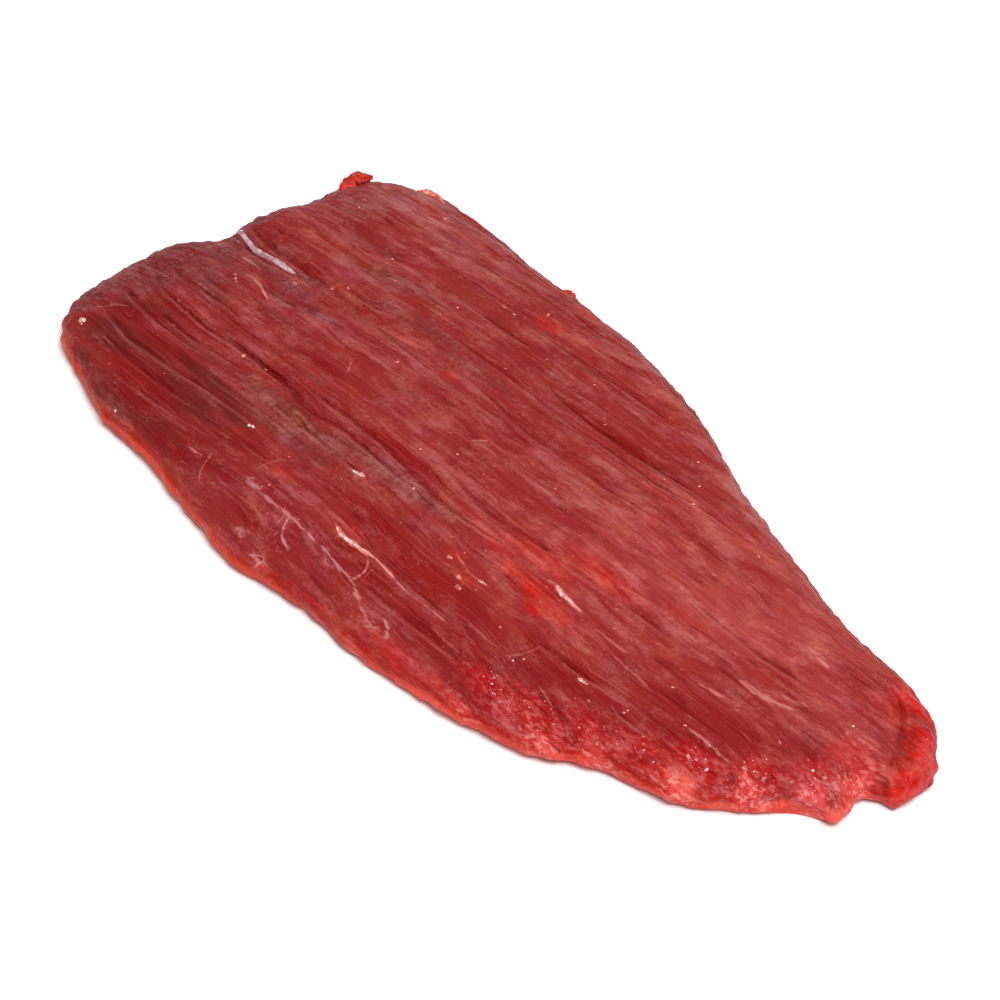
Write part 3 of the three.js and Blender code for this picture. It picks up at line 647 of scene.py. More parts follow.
# %% Nodes
def add_node(tree, kind, sockets=None, output=0, **settings):
    """Adds a node with its settings, gives each socket a link or a value, and returns an output."""
    node = tree.nodes.new(kind)
    for name, value in settings.items():
        setattr(node, name, value)
    for key, value in (sockets or {}).items():
        if isinstance(value, bpy.types.NodeSocket):
            tree.links.new(value, node.inputs[key])
        else:
            node.inputs[key].default_value = value
    return node.outputs[output] if len(node.outputs) else None


def painted(tree, name):
    """Reads what was painted on the points, in the relief or in the material."""
    vector = name == "fibre"
    if tree.type == "GEOMETRY":
        kind = "FLOAT_VECTOR" if vector else "FLOAT"
        return add_node(tree, "GeometryNodeInputNamedAttribute", {"Name": name}, data_type=kind)
    return add_node(tree, "ShaderNodeAttribute", output="Vector" if vector else "Fac", attribute_name=name)


def weighed_sum(tree, terms, total=0.0):
    """Adds up sockets, each times its weight, from a number on."""
    for socket, weight in terms:
        sockets = {0: socket, 1: weight, 2: total}
        total = add_node(tree, "ShaderNodeMath", sockets, operation="MULTIPLY_ADD")
    return total


def product(tree, total, *factors):
    """Multiplies sockets and numbers."""
    for factor in factors:
        total = add_node(tree, "ShaderNodeMath", {0: total, 1: factor}, operation="MULTIPLY")
    return total


print("node helpers", [made.__name__ for made in (add_node, painted, weighed_sum, product)])

# %% Noises, masks and lines
MIDDLE = 0.5                     # middle value of a noise
HALF_RANGE = 0.25                # how far a noise mostly strays from it


def stretched(tree, place, length, width, detail=1.0, roughness=0.5, shift=0.0):
    """Noise from 0 to 1 in cells of so many mm with the fibres and across them."""
    scale = (1 / (length * MM), 1 / (width * MM), 1 / (width * MM))
    sockets = {0: place, 1: scale, 2: (shift, shift, shift)}
    cells = add_node(tree, "ShaderNodeVectorMath", sockets, operation="MULTIPLY_ADD")
    sockets = {"Vector": cells, "Scale": 1.0, "Detail": detail, "Roughness": roughness}
    return add_node(tree, "ShaderNodeTexNoise", sockets)


def level(tree, noise):
    """The noise with its middle value at 0."""
    return weighed_sum(tree, [(noise, 1.0)], -MIDDLE)


def mask(tree, value, start, end, *shares):
    """0 where a value is at start, the product of the shares where it is at end, and soft between."""
    most = product(tree, *(shares or [1.0]))
    sockets = {"Value": value, "From Min": start, "From Max": end, "To Max": most}
    return add_node(tree, "ShaderNodeMapRange", sockets, interpolation_type="SMOOTHSTEP")


def line_at(tree, value, middle, outer, inner, *shares):
    """A line where a value passes through a middle one: full within inner of it, gone at outer."""
    offset = weighed_sum(tree, [(value, 1.0)], -middle)
    gap = add_node(tree, "ShaderNodeMath", {0: offset}, operation="ABSOLUTE")
    return mask(tree, gap, outer, inner, *shares)


print("pattern helpers", [made.__name__ for made in (stretched, level, mask, line_at)])

# %% Fibre pattern
STRAY = (60, 36, 3.0, 0.55)      # length and width in mm, detail and roughness of the straying
WANDER = 3.0                     # mm that a fibre strays from its lane
FIBRES = {
    # length and width in mm, detail, roughness, and a shift that makes each noise its own
    "broad": (60, 16, 2.0, 0.5, 6.6),     # lighter and darker bands
    "bundle": (70, 5.2, 1.0, 0.5, 1.1),   # bundles of fibres
    "thread": (16, 1.8, 1.0, 0.5, 2.2),   # threads in a bundle
    "fields": (80, 7.5, 2.0, 0.5, 3.3),   # what lies between grooves
    "strips": (36, 3.2, 2.0, 0.5, 7.7),   # what lies between the finer splits
    "breaks": (26, 5.0, 2.0, 0.5, 12.1),  # the lengths that both are broken into
}
GROOVED = (0.42, 0.62)           # of the breaks: no grooves at the first value, all at the second
SPLIT = (0.58, 0.38)             # the same for the splits, which lie where grooves don't


def fibre_pattern(tree, groove_width, split_width):
    """The places in straight and in wandering lanes, and the noises and lines of the fibres, each
    from 0 to 1. Steep places have no grooves."""
    straight = painted(tree, "fibre")
    stray = level(tree, stretched(tree, straight, *STRAY))
    sockets = {0: stray, 1: (0, WANDER / HALF_RANGE * MM, 0), 2: straight}
    wandering = add_node(tree, "ShaderNodeVectorMath", sockets, operation="MULTIPLY_ADD")
    pattern = {name: stretched(tree, wandering, *sizes) for name, sizes in FIBRES.items()}
    flat = weighed_sum(tree, [(painted(tree, "edge"), -1.0)], 1.0)
    grooved = mask(tree, pattern["breaks"], *GROOVED, flat)
    split = mask(tree, pattern["breaks"], *SPLIT, flat)
    pattern["groove"] = line_at(tree, pattern["fields"], MIDDLE, groove_width, 0.0, grooved)
    pattern["split"] = line_at(tree, pattern["strips"], MIDDLE, split_width, 0.0, split)
    return straight, wandering, pattern


print("fibre noises", len(FIBRES))

# %% [markdown]
# ## Step 10: relief in the mesh
#
# The imported solid has notches of its own along the deepest creases. It knows them only every few
# millimetres, so their lips step like a saw: they are smoothed away first. Then Geometry Nodes
# move each point along its own normal, by the pattern above and by local reliefs: stronger ridges
# where the bundles stand out, lumps on the cut rim, pebbles of wet meat near the tip, and the drawn
# creases. The flat resting face stays where it is. The result is applied, so the relief is real
# geometry, which also shows in the outline.

# %% Smooth the old notches
NOTCHED = 0.7                    # creases of this strength or more lie in a notch of the solid
NOTCH_REACH = 5.0                # mm to each side of it that are smoothed
NOTCH_STEP = 2.0                 # mm
NOTCH_ROUNDS = 24                # times that each point moves halfway to the middle of its neighbours
TOP_UP = 0.5                     # only where the surface faces up by this share
TOP_HEIGHT = 6                   # and lies at least so many mm over the table

beside = np.zeros(len(X), bool)
for strength, points in CREASES:
    if strength >= NOTCHED:
        for x, y, _ in smooth_path(points, NOTCH_STEP):
            beside |= (np.abs(X - x) < NOTCH_REACH) & (np.abs(Y - y) < NOTCH_REACH)
beside &= (UP > TOP_UP) & (Z > TOP_HEIGHT)
pick_only(lean)
bpy.ops.object.mode_set(mode="EDIT")
bpy.ops.mesh.select_mode(type="VERT")
bpy.ops.mesh.select_all(action="DESELECT")
bpy.ops.object.mode_set(mode="OBJECT")
lean.data.vertices.foreach_set("select", beside)
bpy.ops.object.mode_set(mode="EDIT")
bpy.ops.mesh.vertices_smooth(factor=0.5, repeat=NOTCH_ROUNDS)
bpy.ops.object.mode_set(mode="OBJECT")
print("smoothed", int(beside.sum()), "points beside the deep creases")

# %% Heights of the relief
DENT_GROOVE, DENT_SPLIT = 0.06, 0.07       # half widths of their lines, as shares of the noise
DENTS = {"bundle": 1.0, "thread": 0.4, "groove": -0.35, "split": -0.18}     # mm at full value
RIDGED_BUNDLES = 1.4             # mm more where the ridges stand out
CREASE_DEPTH = 0.85              # mm
CREASE_WIDTH = 1.4               # half widths from its middle to its edge
LIPS = (-2.3, 2.3)               # half widths from a crease to the middle of each of its lips
LIP_WIDTH = 1.3                  # half widths from the middle of a lip to its edge
LIP_HEIGHT = 0.18                # mm
STRAND_HEIGHT = 0.18             # mm
STRAND_TOP = 0.2                 # share of a strand's half width that is flat on top
LUMPS = {
    # length, width and height in mm of the lumps in a zone
    "edge": (6.0, 4.0, 2.4),
    "rim": (4.0, 3.0, 1.2),
    "wet": (2.6, 2.0, 1.4),
    "mauve": (5.0, 3.8, 1.8),
}
LUMP_DETAIL = 2.0                # how many sizes of finer lumps there are on them
SWELL = 0.35                     # mm that makes up for what the rounding took off the edges

relief = bpy.data.node_groups.new("fibre_relief", "GeometryNodeTree")
straight, _, pattern = fibre_pattern(relief, DENT_GROOVE, DENT_SPLIT)
heights = [(pattern[name], amount * MM) for name, amount in DENTS.items()]
ridges = product(relief, level(relief, pattern["bundle"]), painted(relief, "ridged"))
heights.append((ridges, RIDGED_BUNDLES * MM))
for zone, (length, width, height) in LUMPS.items():
    lumps = stretched(relief, straight, length, width, LUMP_DETAIL, shift=length)
    heights.append((product(relief, level(relief, lumps), painted(relief, zone)), height * MM))
for kind, groups in line_groups.items():
    for number in range(len(groups)):
        side, near = [painted(relief, f"{kind}_{number}_{what}") for what in ("side", "near")]
        if kind == "strand":
            heights.append((line_at(relief, side, 0.0, 1.0, STRAND_TOP, near), STRAND_HEIGHT * MM))
            continue
        heights.append((line_at(relief, side, 0.0, CREASE_WIDTH, 0.0, near), -CREASE_DEPTH * MM))
        for lip in LIPS:
            heights.append((line_at(relief, side, lip, LIP_WIDTH, 0.0, near), LIP_HEIGHT * MM))
print("the relief adds up", len(heights), "heights")

# %% Move the points
LOWEST = (-1, -1, 0)             # m: no point goes below the table, wherever it lies on it

# Bundles and threads go up and down from their middle value, and the swell lifts them all
middle = MIDDLE * (DENTS["bundle"] + DENTS["thread"]) - SWELL
height = product(relief, weighed_sum(relief, heights, -middle * MM), painted(relief, "loose"))
normal = add_node(relief, "GeometryNodeInputNormal")
shove = add_node(relief, "ShaderNodeVectorMath", {0: normal, "Scale": height}, operation="SCALE")
for way in ("INPUT", "OUTPUT"):
    relief.interface.new_socket("Geometry", in_out=way, socket_type="NodeSocketGeometry")
body = add_node(relief, "NodeGroupInput")
body = add_node(relief, "GeometryNodeSetPosition", {"Geometry": body, "Offset": shove})
place = add_node(relief, "GeometryNodeInputPosition")
place = add_node(relief, "ShaderNodeVectorMath", {0: place, 1: LOWEST}, operation="MAXIMUM")
body = add_node(relief, "GeometryNodeSetPosition", {"Geometry": body, "Position": place})
add_node(relief, "NodeGroupOutput", {0: body})

smooth_places = measure("co")
pick_only(lean)
carving = lean.modifiers.new("fibre relief", "NODES")
carving.node_group = relief
bpy.ops.object.modifier_apply(modifier=carving.name)
change = np.abs(measure("co") - smooth_places).max() / MM
print("relief moves the surface by up to", round(float(change), 2), "mm")

# %% [markdown]
# ## Step 11: the finish of raw lean beef
#
# Lean meat is dark red because light sinks in and only red comes back, so the finish lets a little
# light through. Cut by a knife and kept moist, its surface is clear in most places and milky in
# some, and its colours run from a deep, saturated red to a paler, greyer one, at every size from a
# hand's breadth down to a fibre. Noises of those sizes are made first, some along the wandering
# lanes and some along the straight ones.

# %% Noises of the lean
JUICE_GROOVE, JUICE_SPLIT = 0.035, 0.05    # half widths of their lines, as shares of the noise
WANDERING = {
    # length and width in mm, detail, roughness and shift of each noise
    "cloud": (13, 6, 5.0, 0.68, 4.4),       # the largest patches of the mottling
    "streaks": (11, 2.1, 3.0, 0.6, 8.8),    # what stains run out in
    "hue": (14, 8, 3.0, 0.5, 16.5),         # turns towards orange and mauve
    "hairs": (30, 0.9, 2.0, 0.5, 17.7),     # single fibres, drawn as coarse as they need to show
    "tatters": (5, 1.2, 2.0, 0.5, 18.1),    # torn edges of creases and strands
    "wrung": (10, 2.6, 3.0, 0.6, 21.9),     # dents in the dried far side
}
STRAIGHT = {
    "wrinkles": (1.6, 5.5, 2.0, 0.5, 11.3),  # ruffles across the fibres, in a film
    "grain": (1.3, 1.0, 2.0, 0.6, 14.2),     # the grain of the lean
    "fat_net": (3.2, 1.2, 4.0, 0.6, 9.9),    # fat between the fibres
    "blotch": (7, 4, 4.0, 0.65, 20.7),       # pools and blushes of the wet side
    "cracks": (14, 9, 3.0, 0.5, 19.3),       # fields between the cracks of the old end
    "droplets": (1.6, 1.2, 1.0, 0.5, 10.3),  # drops on the wet side
}
# Clear, moist lean: soft gloss, and light that goes about a millimetre deep and comes back red
moist_lean = {
    "IOR": 1.38,
    "Specular IOR Level": 0.10,
    "Subsurface Weight": 0.12,
    "Subsurface Radius": (1.0, 0.25, 0.2),
    "Subsurface Scale": 1.2 * MM,
}
beef, shader = new_finish("raw_lean_beef_moist", moist_lean)
tree = beef.node_tree
straight, wandering, look = fibre_pattern(tree, JUICE_GROOVE, JUICE_SPLIT)
for lanes, noises in ((wandering, WANDERING), (straight, STRAIGHT)):
    for name, sizes in noises.items():
        look[name] = stretched(tree, lanes, *sizes)
zones = {name: painted(tree, name) for name in (*cover, "rim", "painted_glow", "painted_light_foot")}
print("noises and lines of the lean", len(look), "zones", len(zones))

# %% [markdown]
# Colours are laid over each other like glazes: each has an amount, and either covers what lies
# below it or keeps a share of its red, green and blue. The stains come first, each broken up by
# fibre noise so that its edge runs out in streaks.

# %% Stains
LEAN = linear("#8F2D2C")         # where nothing stains it
STAINS = [
    # zone, colour, share that it covers at most
    # rose-red, and partly a painted sheen
    ("rose_and_sheen", "#A04441", 0.9),
    # dusty film, and partly a painted sheen
    ("dusty_and_sheen", "#A05251", 0.9),
    ("film", "#803333", 0.9),
    ("tan", "#7C322C", 0.9),
    # painted shade: a dark stain where less light falls
    ("shade", "#6C2321", 0.85),
    ("mauve", "#80393B", 0.95),
    # deep red, and partly painted shade
    ("deep_red_and_shade", "#831819", 0.9),
    ("membrane", "#852228", 0.85),
    ("wet", "#A61319", 0.85),
    ("fresh", "#AE2D25", 0.85),
    ("rim", "#A82017", 0.9),
    # orange-red of the cut foot, brightened as painted light
    ("painted_light_foot", "#E04522", 0.85),
    # painted glow: light that shines through the thin rim by the tip
    ("painted_glow", "#E85243", 0.85),
    ("bright", "#BA1109", 0.95),
    # painted shade in the fold at the tip
    ("fold_shade", "#94100B", 0.9),
    ("pale", "#D24845", 0.8),
]
RAGGED = {"streaks": 0.5, "cloud": 0.7}     # what breaks up the edge of a stain, and how much
STAIN_EDGE = (0.78, 1.38)        # of their sum: no stain at the first value, a full one at the second


def lay_over(tree, colour, glazes):
    """Lays glazes over a colour: each is an amount, a colour, and MIX to cover or MULTIPLY to keep."""
    for amount, tint, how in glazes:
        # Among the sockets of a Mix node, these take and give colours
        sockets = {0: amount, 6: colour, 7: tint}
        colour = add_node(tree, "ShaderNodeMix", sockets, 2, data_type="RGBA", blend_type=how)
    return colour


ragged = weighed_sum(tree, [(look[name], weight) for name, weight in RAGGED.items()])
glazes = []
for zone, hex_colour, share in STAINS:
    amount = mask(tree, weighed_sum(tree, [(zones[zone], 1.0)], ragged), *STAIN_EDGE, share)
    glazes.append((amount, linear(hex_colour), "MIX"))
colour = lay_over(tree, LEAN, glazes)
print("stains", len(glazes))

# %% [markdown]
# Then one mottling makes each stain clearer or milkier, and its milk is partly painted sheen. The
# film and the old end are ruffled across the fibres, which adds to it, and the deep red zone and the
# painted shade stay clearer.

# %% Clear places, and milky places with painted sheen
MILK_AND_SHEEN_PARTS = {
    "cloud": 0.56, "streaks": 0.17, "bundle": 0.12, "thread": 0.08, "broad": 0.20, "grain": 0.18,
    "ruffles": 0.35,
}
# the deep red zone, partly painted shade, and the painted shade zone stay clearer
CLEAR_ZONES = {"deep_red_and_shade": -0.06, "shade": -0.08}
MILKY = (0.585, 0.83)            # of the sum: clear at the first value, milky with painted sheen at the second
CLEAR = (0.85, 0.66, 0.66, 1.0)  # what a clear place keeps of the red, green and blue
MILK_AND_SHEEN = linear("#D89890")         # dried film and the finest fat, and partly a painted sheen
MILKINESS = 0.18                 # how much of it tints a place of milk and painted sheen

veil = add_node(tree, "ShaderNodeMath", {0: zones["film"], 1: zones["mauve"]}, operation="MAXIMUM")
look["ruffles"] = product(tree, level(tree, look["wrinkles"]), veil)
parts = [(look[name], weight) for name, weight in MILK_AND_SHEEN_PARTS.items()]
parts += [(zones[name], weight) for name, weight in CLEAR_ZONES.items()]
milk_and_sheen = mask(tree, weighed_sum(tree, parts), *MILKY)
clear_lean = lay_over(tree, colour, [(1.0, CLEAR, "MULTIPLY")])
lean_with_milk_and_sheen = lay_over(tree, colour, [(MILKINESS, MILK_AND_SHEEN, "MIX")])
colour = lay_over(tree, clear_lean, [(milk_and_sheen, lean_with_milk_and_sheen, "MIX")])
print("milk is made of", len(parts), "parts")

# %% [markdown]
# Thin glazes turn the hue a little, draw single fibres, and give the pale side its net of fat and
# the wet side its pools of juice. Grooves, splits and dents are darkened, partly by the juice that
# gathers there and partly as painted shade.

# %% Glazes
ORANGE = (1.06, 1.08, 0.86, 1.0)            # times the red, green and blue of a warmer place
MAUVE = (0.98, 0.90, 1.14, 1.0)             # and of a cooler one
FIBRE_LIGHT = linear("#C86A60")  # a fibre that lies on top and catches the light
FIBRE_DARK = (0.74, 0.58, 0.58, 1.0)
MARBLING = linear("#E9948C")     # fat between the fibres of the pale side
TISSUE = linear("#D09296")       # connective tissue on the smooth pad
JUICE_AND_SHADE = (0.62, 0.27, 0.24, 1.0)  # what dark juice keeps of the colour in pools, and with painted shade in grooves
GLAZES = [
    # noise, where the glaze starts and is full, its share, its zone, its colour, how it is laid
    ("hue", 0.52, 0.70, 1.0, None, ORANGE, "MULTIPLY"),
    ("hue", 0.48, 0.30, 1.0, None, MAUVE, "MULTIPLY"),
    ("hairs", 0.56, 0.74, 0.18, None, FIBRE_LIGHT, "MIX"),
    ("hairs", 0.44, 0.28, 0.8, None, FIBRE_DARK, "MULTIPLY"),
    ("grain", 0.70, 0.80, 0.5, None, MILK_AND_SHEEN, "MIX"),
    ("fat_net", 0.51, 0.62, 0.65, "netted", MARBLING, "MIX"),
    ("blotch", 0.52, 0.38, 0.6, "wet", JUICE_AND_SHADE, "MULTIPLY"),
    ("blotch", 0.54, 0.66, 0.24, "wet", TISSUE, "MIX"),
]
WRUNG = (0.45, 0.34)             # of the noise: no dent at the first value, full at the second
# what is darkened by juice and painted shade, and how much
DARKENED_BY_JUICE_AND_SHADE = {"wrung": 0.55, "groove": 0.5, "split": 0.4}

glazes = []
for name, start, end, share, zone, tint, how in GLAZES:
    shares = [zones[zone], share] if zone else [share]
    glazes.append((mask(tree, look[name], start, end, *shares), tint, how))
look["wrung"] = mask(tree, look["wrung"], *WRUNG, zones["dusty_and_sheen"])
for name, share in DARKENED_BY_JUICE_AND_SHADE.items():
    glazes.append((product(tree, look[name], share), JUICE_AND_SHADE, "MULTIPLY"))
colour = lay_over(tree, colour, glazes)
print("glazes", len(glazes))

# %% [markdown]
# The drawn creases are dark with juice and painted shade, wavy at their edges, and the lip on one
# side carries a painted highlight in the colour of milk. The film at the old end has cracks. The
# strands are pale and torn: noise eats into their width and lets the meat shine through, and off the
# smooth pad they are thinner.

# %% Creases, cracks and strands
WAVE = 2.0                       # how strongly a crease's edge waves, in half widths
LIP_HIGHLIGHT = (-2.0, 1.2, 0.0)     # place, outer and inner edge of the painted highlight on one lip, in half widths
LIP_HIGHLIGHT_SHARE = 0.10                  # share of milk colour in the painted highlight on the lip
CREASE_JUICE_AND_SHADE = 0.8               # share of juice and painted shade in a crease
CRACK_WIDTH = 0.03               # as a share of the noise
CRACK_JUICE = 0.5                # share of juice in a crack
THIN_TISSUE = linear("#D98A80")  # a strand so thin that the meat shines through
ON_PAD = (0.05, 0.4)             # of the web zone: off the pad at the first value, on it at the second
FRAY = 4.5                       # how strongly a strand is torn, in half widths
STRAND_EDGE = (1.2, 0.0)         # half widths from its middle at which a strand is gone and full

tatters = level(tree, look["tatters"])
on_pad = mask(tree, zones["web"], *ON_PAD)
strand_colour = lay_over(tree, THIN_TISSUE, [(on_pad, TISSUE, "MIX")])
look["creases"] = 0.0
lip_highlights, strands = [], []
for kind, groups in line_groups.items():
    for number in range(len(groups)):
        side, near = [painted(tree, f"{kind}_{number}_{what}") for what in ("side", "near")]
        if kind == "crease":
            wavy = weighed_sum(tree, [(tatters, WAVE), (side, 1.0)])
            sockets = {0: look["creases"], 1: line_at(tree, wavy, 0.0, 1.0, 0.0, near)}
            look["creases"] = add_node(tree, "ShaderNodeMath", sockets, operation="MAXIMUM")
            lip_highlights.append((line_at(tree, side, *LIP_HIGHLIGHT, near, LIP_HIGHLIGHT_SHARE), MILK_AND_SHEEN, "MIX"))
        else:
            gap = add_node(tree, "ShaderNodeMath", {0: side}, operation="ABSOLUTE")
            frayed = weighed_sum(tree, [(tatters, FRAY), (gap, 1.0)])
            strands.append((mask(tree, frayed, *STRAND_EDGE, near), strand_colour, "MIX"))
look["cracks"] = line_at(tree, look["cracks"], MIDDLE, CRACK_WIDTH, 0.0, zones["mauve"])
# creases are darkened by juice and painted shade, and cracks by the same colour
juice_and_shade = [
    (product(tree, look["creases"], CREASE_JUICE_AND_SHADE), JUICE_AND_SHADE, "MULTIPLY"),
    (product(tree, look["cracks"], CRACK_JUICE), JUICE_AND_SHADE, "MULTIPLY"),
]
colour = lay_over(tree, colour, lip_highlights + juice_and_shade + strands)
print("crease groups", len(lip_highlights), "strand groups", len(strands))

# %% [markdown]
# On the smooth pad lies a web of thin tissue. Its threads are the walls between the cells of a
# pattern, shaken up a little by the mottling, and a haze of the same tissue lies between them.

# %% Web
CELL = 8                         # mm across a cell of the web
SHAKE = 5                        # mm that its walls are shaken by
WALL = 0.07                      # half the thickness of a wall, as a share of a cell
WALL_PATCHES = (0.3, 0.6)        # of web zone times cloud: no walls at the first value
WALL_SHARE = 0.7                 # how much of the tissue's colour a wall shows
HAZE = (0.40, 0.60, 0.42)        # of web zone times fat net: none, full, and its share there

sockets = {0: look["cloud"], 1: (SHAKE * MM, SHAKE * MM, SHAKE * MM), 2: wandering}
shaken = add_node(tree, "ShaderNodeVectorMath", sockets, operation="MULTIPLY_ADD")
sockets = {"Vector": shaken, "Scale": 1 / (CELL * MM)}
walls = add_node(tree, "ShaderNodeTexVoronoi", sockets, "Distance", feature="DISTANCE_TO_EDGE")
patches = mask(tree, product(tree, zones["web"], look["cloud"]), *WALL_PATCHES)
web = mask(tree, walls, WALL, 0.0, patches, WALL_SHARE)
haze = mask(tree, product(tree, zones["web"], look["fat_net"]), *HAZE)
tissue = add_node(tree, "ShaderNodeMath", {0: web, 1: haze}, operation="MAXIMUM")
colour = lay_over(tree, colour, [(tissue, TISSUE, "MIX")])
tree.links.new(colour, shader.inputs["Base Color"])
print("the lean's colour has", len(tree.nodes), "nodes")

# %% [markdown]
# The film is duller than the fresh lean, and only the wet side by the tip glistens. Bump adds what
# is finer than the mesh's squares, with its depth in millimetres.

# %% Gloss and bump
GLOSS = 0.20                     # roughness where nothing adds to it
DULLER = {"grain": 0.24, "streaks": 0.20}   # what the noises add to it
VEIL_DULLER, WET_DULLER = 0.08, -0.10       # what the film and the wet side add to it
BUMPS = {
    # depth in mm at full value
    "cloud": 0.45, "streaks": 0.40, "thread": 0.20, "hairs": 0.12, "grain": 0.14, "groove": -0.25,
    "split": -0.14, "creases": -0.4, "cracks": -0.3, "ruffles": 0.30, "wrung": -0.3, "droplets": 0.5,
}

parts = [(veil, VEIL_DULLER), (zones["wet"], WET_DULLER)]
parts += [(look[name], weight) for name, weight in DULLER.items()]
tree.links.new(weighed_sum(tree, parts, GLOSS), shader.inputs["Roughness"])
look["droplets"] = product(tree, look["droplets"], zones["wet"])
depth = weighed_sum(tree, [(look[name], amount * MM) for name, amount in BUMPS.items()])
bump = add_node(tree, "ShaderNodeBump", {"Height": depth, "Distance": 1.0, "Strength": 1.0})
tree.links.new(bump, shader.inputs["Normal"])
lean.data.materials.clear()
lean.data.materials.append(beef)
print("raw lean beef has", len(tree.nodes), "nodes")

# %% [markdown]
# ## Step 12: tendon and fat
#
# A butcher's knife leaves some tissue behind: a flat white tendon in the furrow at the square end,
# and a few short streaks of fat. Each is a curve drawn on the plan with its own width at each
# point, turned into a flat tapering ribbon, and then lowered onto the meat so that it follows
# every dent and is half sunk in it. Cut tissue is moist and pale where it is thick, and tinted by
# the meat where it is thin, so its finish blends two colours by a fine noise.

# %% Ribbons
PLUMB = 50 * MM                  # how far above the meat a plumb line starts
RIBBON_STEPS = 10                # along each piece of a curve
RIBBON_SIDES = 3                 # round a quarter of it


def meat_below(x, y):
    """Whether a plumb line at x and y, in metres, meets the lean body, where, and how it faces."""
    hit, spot, facing, _ = lean.ray_cast(Vector((x, y, high.z + PLUMB)), Vector((0, 0, -1)))
    return hit, spot, facing


def lay_on_meat(piece, sink):
    """Lowers a flat mesh onto the lean body: heights in it become heights over the meat. What
    reaches beyond the meat is laid over its rim."""
    for vertex in piece.data.vertices:
        x, y, lift = vertex.co
        hit, spot, _ = meat_below(x, y)
        if hit:
            vertex.co = spot + Vector((0, 0, lift - sink))
        else:
            _, spot, outward, _ = lean.closest_point_on_mesh(Vector((x, y, high.z / 2)))
            vertex.co = spot + outward * (lift - sink)


def ribbon(name, points, levels):
    """A tapering tube through (x, y, half width) at the levels given, all in mm."""
    bpy.ops.object.select_all(action="DESELECT")
    bpy.ops.curve.primitive_bezier_curve_add(location=(0, 0, 0))
    tube = bpy.context.object
    tube.name = name
    spline = tube.data.splines[0]
    spline.bezier_points.add(len(points) - 2)      # a new curve has two points
    for knot, (x, y, half), z in zip(spline.bezier_points, points, levels):
        knot.co = (x * MM, y * MM, z * MM)
        knot.handle_left_type = knot.handle_right_type = "AUTO"
        knot.radius = half
    tube.data.resolution_u = RIBBON_STEPS
    tube.data.bevel_depth = 1.0 * MM
    tube.data.bevel_resolution = RIBBON_SIDES
    tube.data.use_fill_caps = True
    pick_only(tube)
    bpy.ops.object.convert(target="MESH")
    return tube


def laid_ribbon(name, points, height, sink, rough):
    """A rough ribbon through (x, y, half width), flattened to that height and sunk, all in mm."""
    strip = ribbon(name, points, [0.0] * len(points))
    for vertex in strip.data.vertices:
        vertex.co.x += random.uniform(-rough, rough) * MM
        vertex.co.y += random.uniform(-rough, rough) * MM
        vertex.co.z *= height
    lay_on_meat(strip, sink * MM)
    return strip


def join_as(name, parts, material):
    """Joins parts into one named piece of the object with its finish."""
    bpy.ops.object.select_all(action="DESELECT")
    for part in parts:
        part.select_set(True)
    bpy.context.view_layer.objects.active = parts[0]
    if len(parts) > 1:
        bpy.ops.object.join()
    piece = bpy.context.object
    piece.name = name
    bpy.ops.object.transform_apply(location=True, rotation=True, scale=True)
    bpy.ops.object.shade_smooth()
    piece.data.materials.clear()
    piece.data.materials.append(material)
    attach(piece, "root")
    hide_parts("steak")
    print(name, len(parts), "parts", len(piece.data.polygons), "faces")


print("the plumb line starts", round((high.z + PLUMB) / MM), "mm over the table")

# %% Finishes of tissue
TISSUE_DETAIL = 3.0              # how many finer sizes its patches have
TISSUE_EDGE = (0.4, 0.62)        # of the noise: tinted at the first value, pale at the second
RIPPLE = 0.1 * MM                # depth of the ripples that go with them
# Wet tissue is glossier than lean, and more light sinks into it and comes back pale
wet_tissue = {
    "Roughness": 0.35,
    "IOR": 1.44,
    "Specular IOR Level": 0.35,
    "Subsurface Weight": 0.3,
    "Subsurface Radius": (1.0, 0.5, 0.4),
    "Subsurface Scale": 1.0 * MM,
}
TISSUES = {
    # the colour where it is thick, the colour where it is thin, and mm across its patches
    "tendon_wet_lilac_white": ("#C2A9AC", "#9E6C70", 3.0),
    "beef_fat_pinkish_white": ("#EEC2B8", "#CC7C72", 1.6),
    "beef_fat_tinted_by_meat": ("#CE857B", "#AA4A42", 1.2),
    "torn_lean_bright_red": ("#C8301F", "#A01A14", 2.5),
    "torn_lean_with_thin_fat": ("#E39880", "#C4493A", 1.8),
}

tissues = {}
for name, (thick, thin, patch) in TISSUES.items():
    tissues[name], shader = new_finish(name, wet_tissue)
    tree = tissues[name].node_tree
    place = add_node(tree, "ShaderNodeTexCoord", output="Object")
    patches = stretched(tree, place, patch, patch, TISSUE_DETAIL)
    colour = lay_over(tree, linear(thin), [(mask(tree, patches, *TISSUE_EDGE), linear(thick), "MIX")])
    ripple = add_node(tree, "ShaderNodeBump", {"Height": patches, "Distance": RIPPLE})
    tree.links.new(colour, shader.inputs["Base Color"])
    tree.links.new(ripple, shader.inputs["Normal"])
    print(name, len(tree.nodes), "nodes")

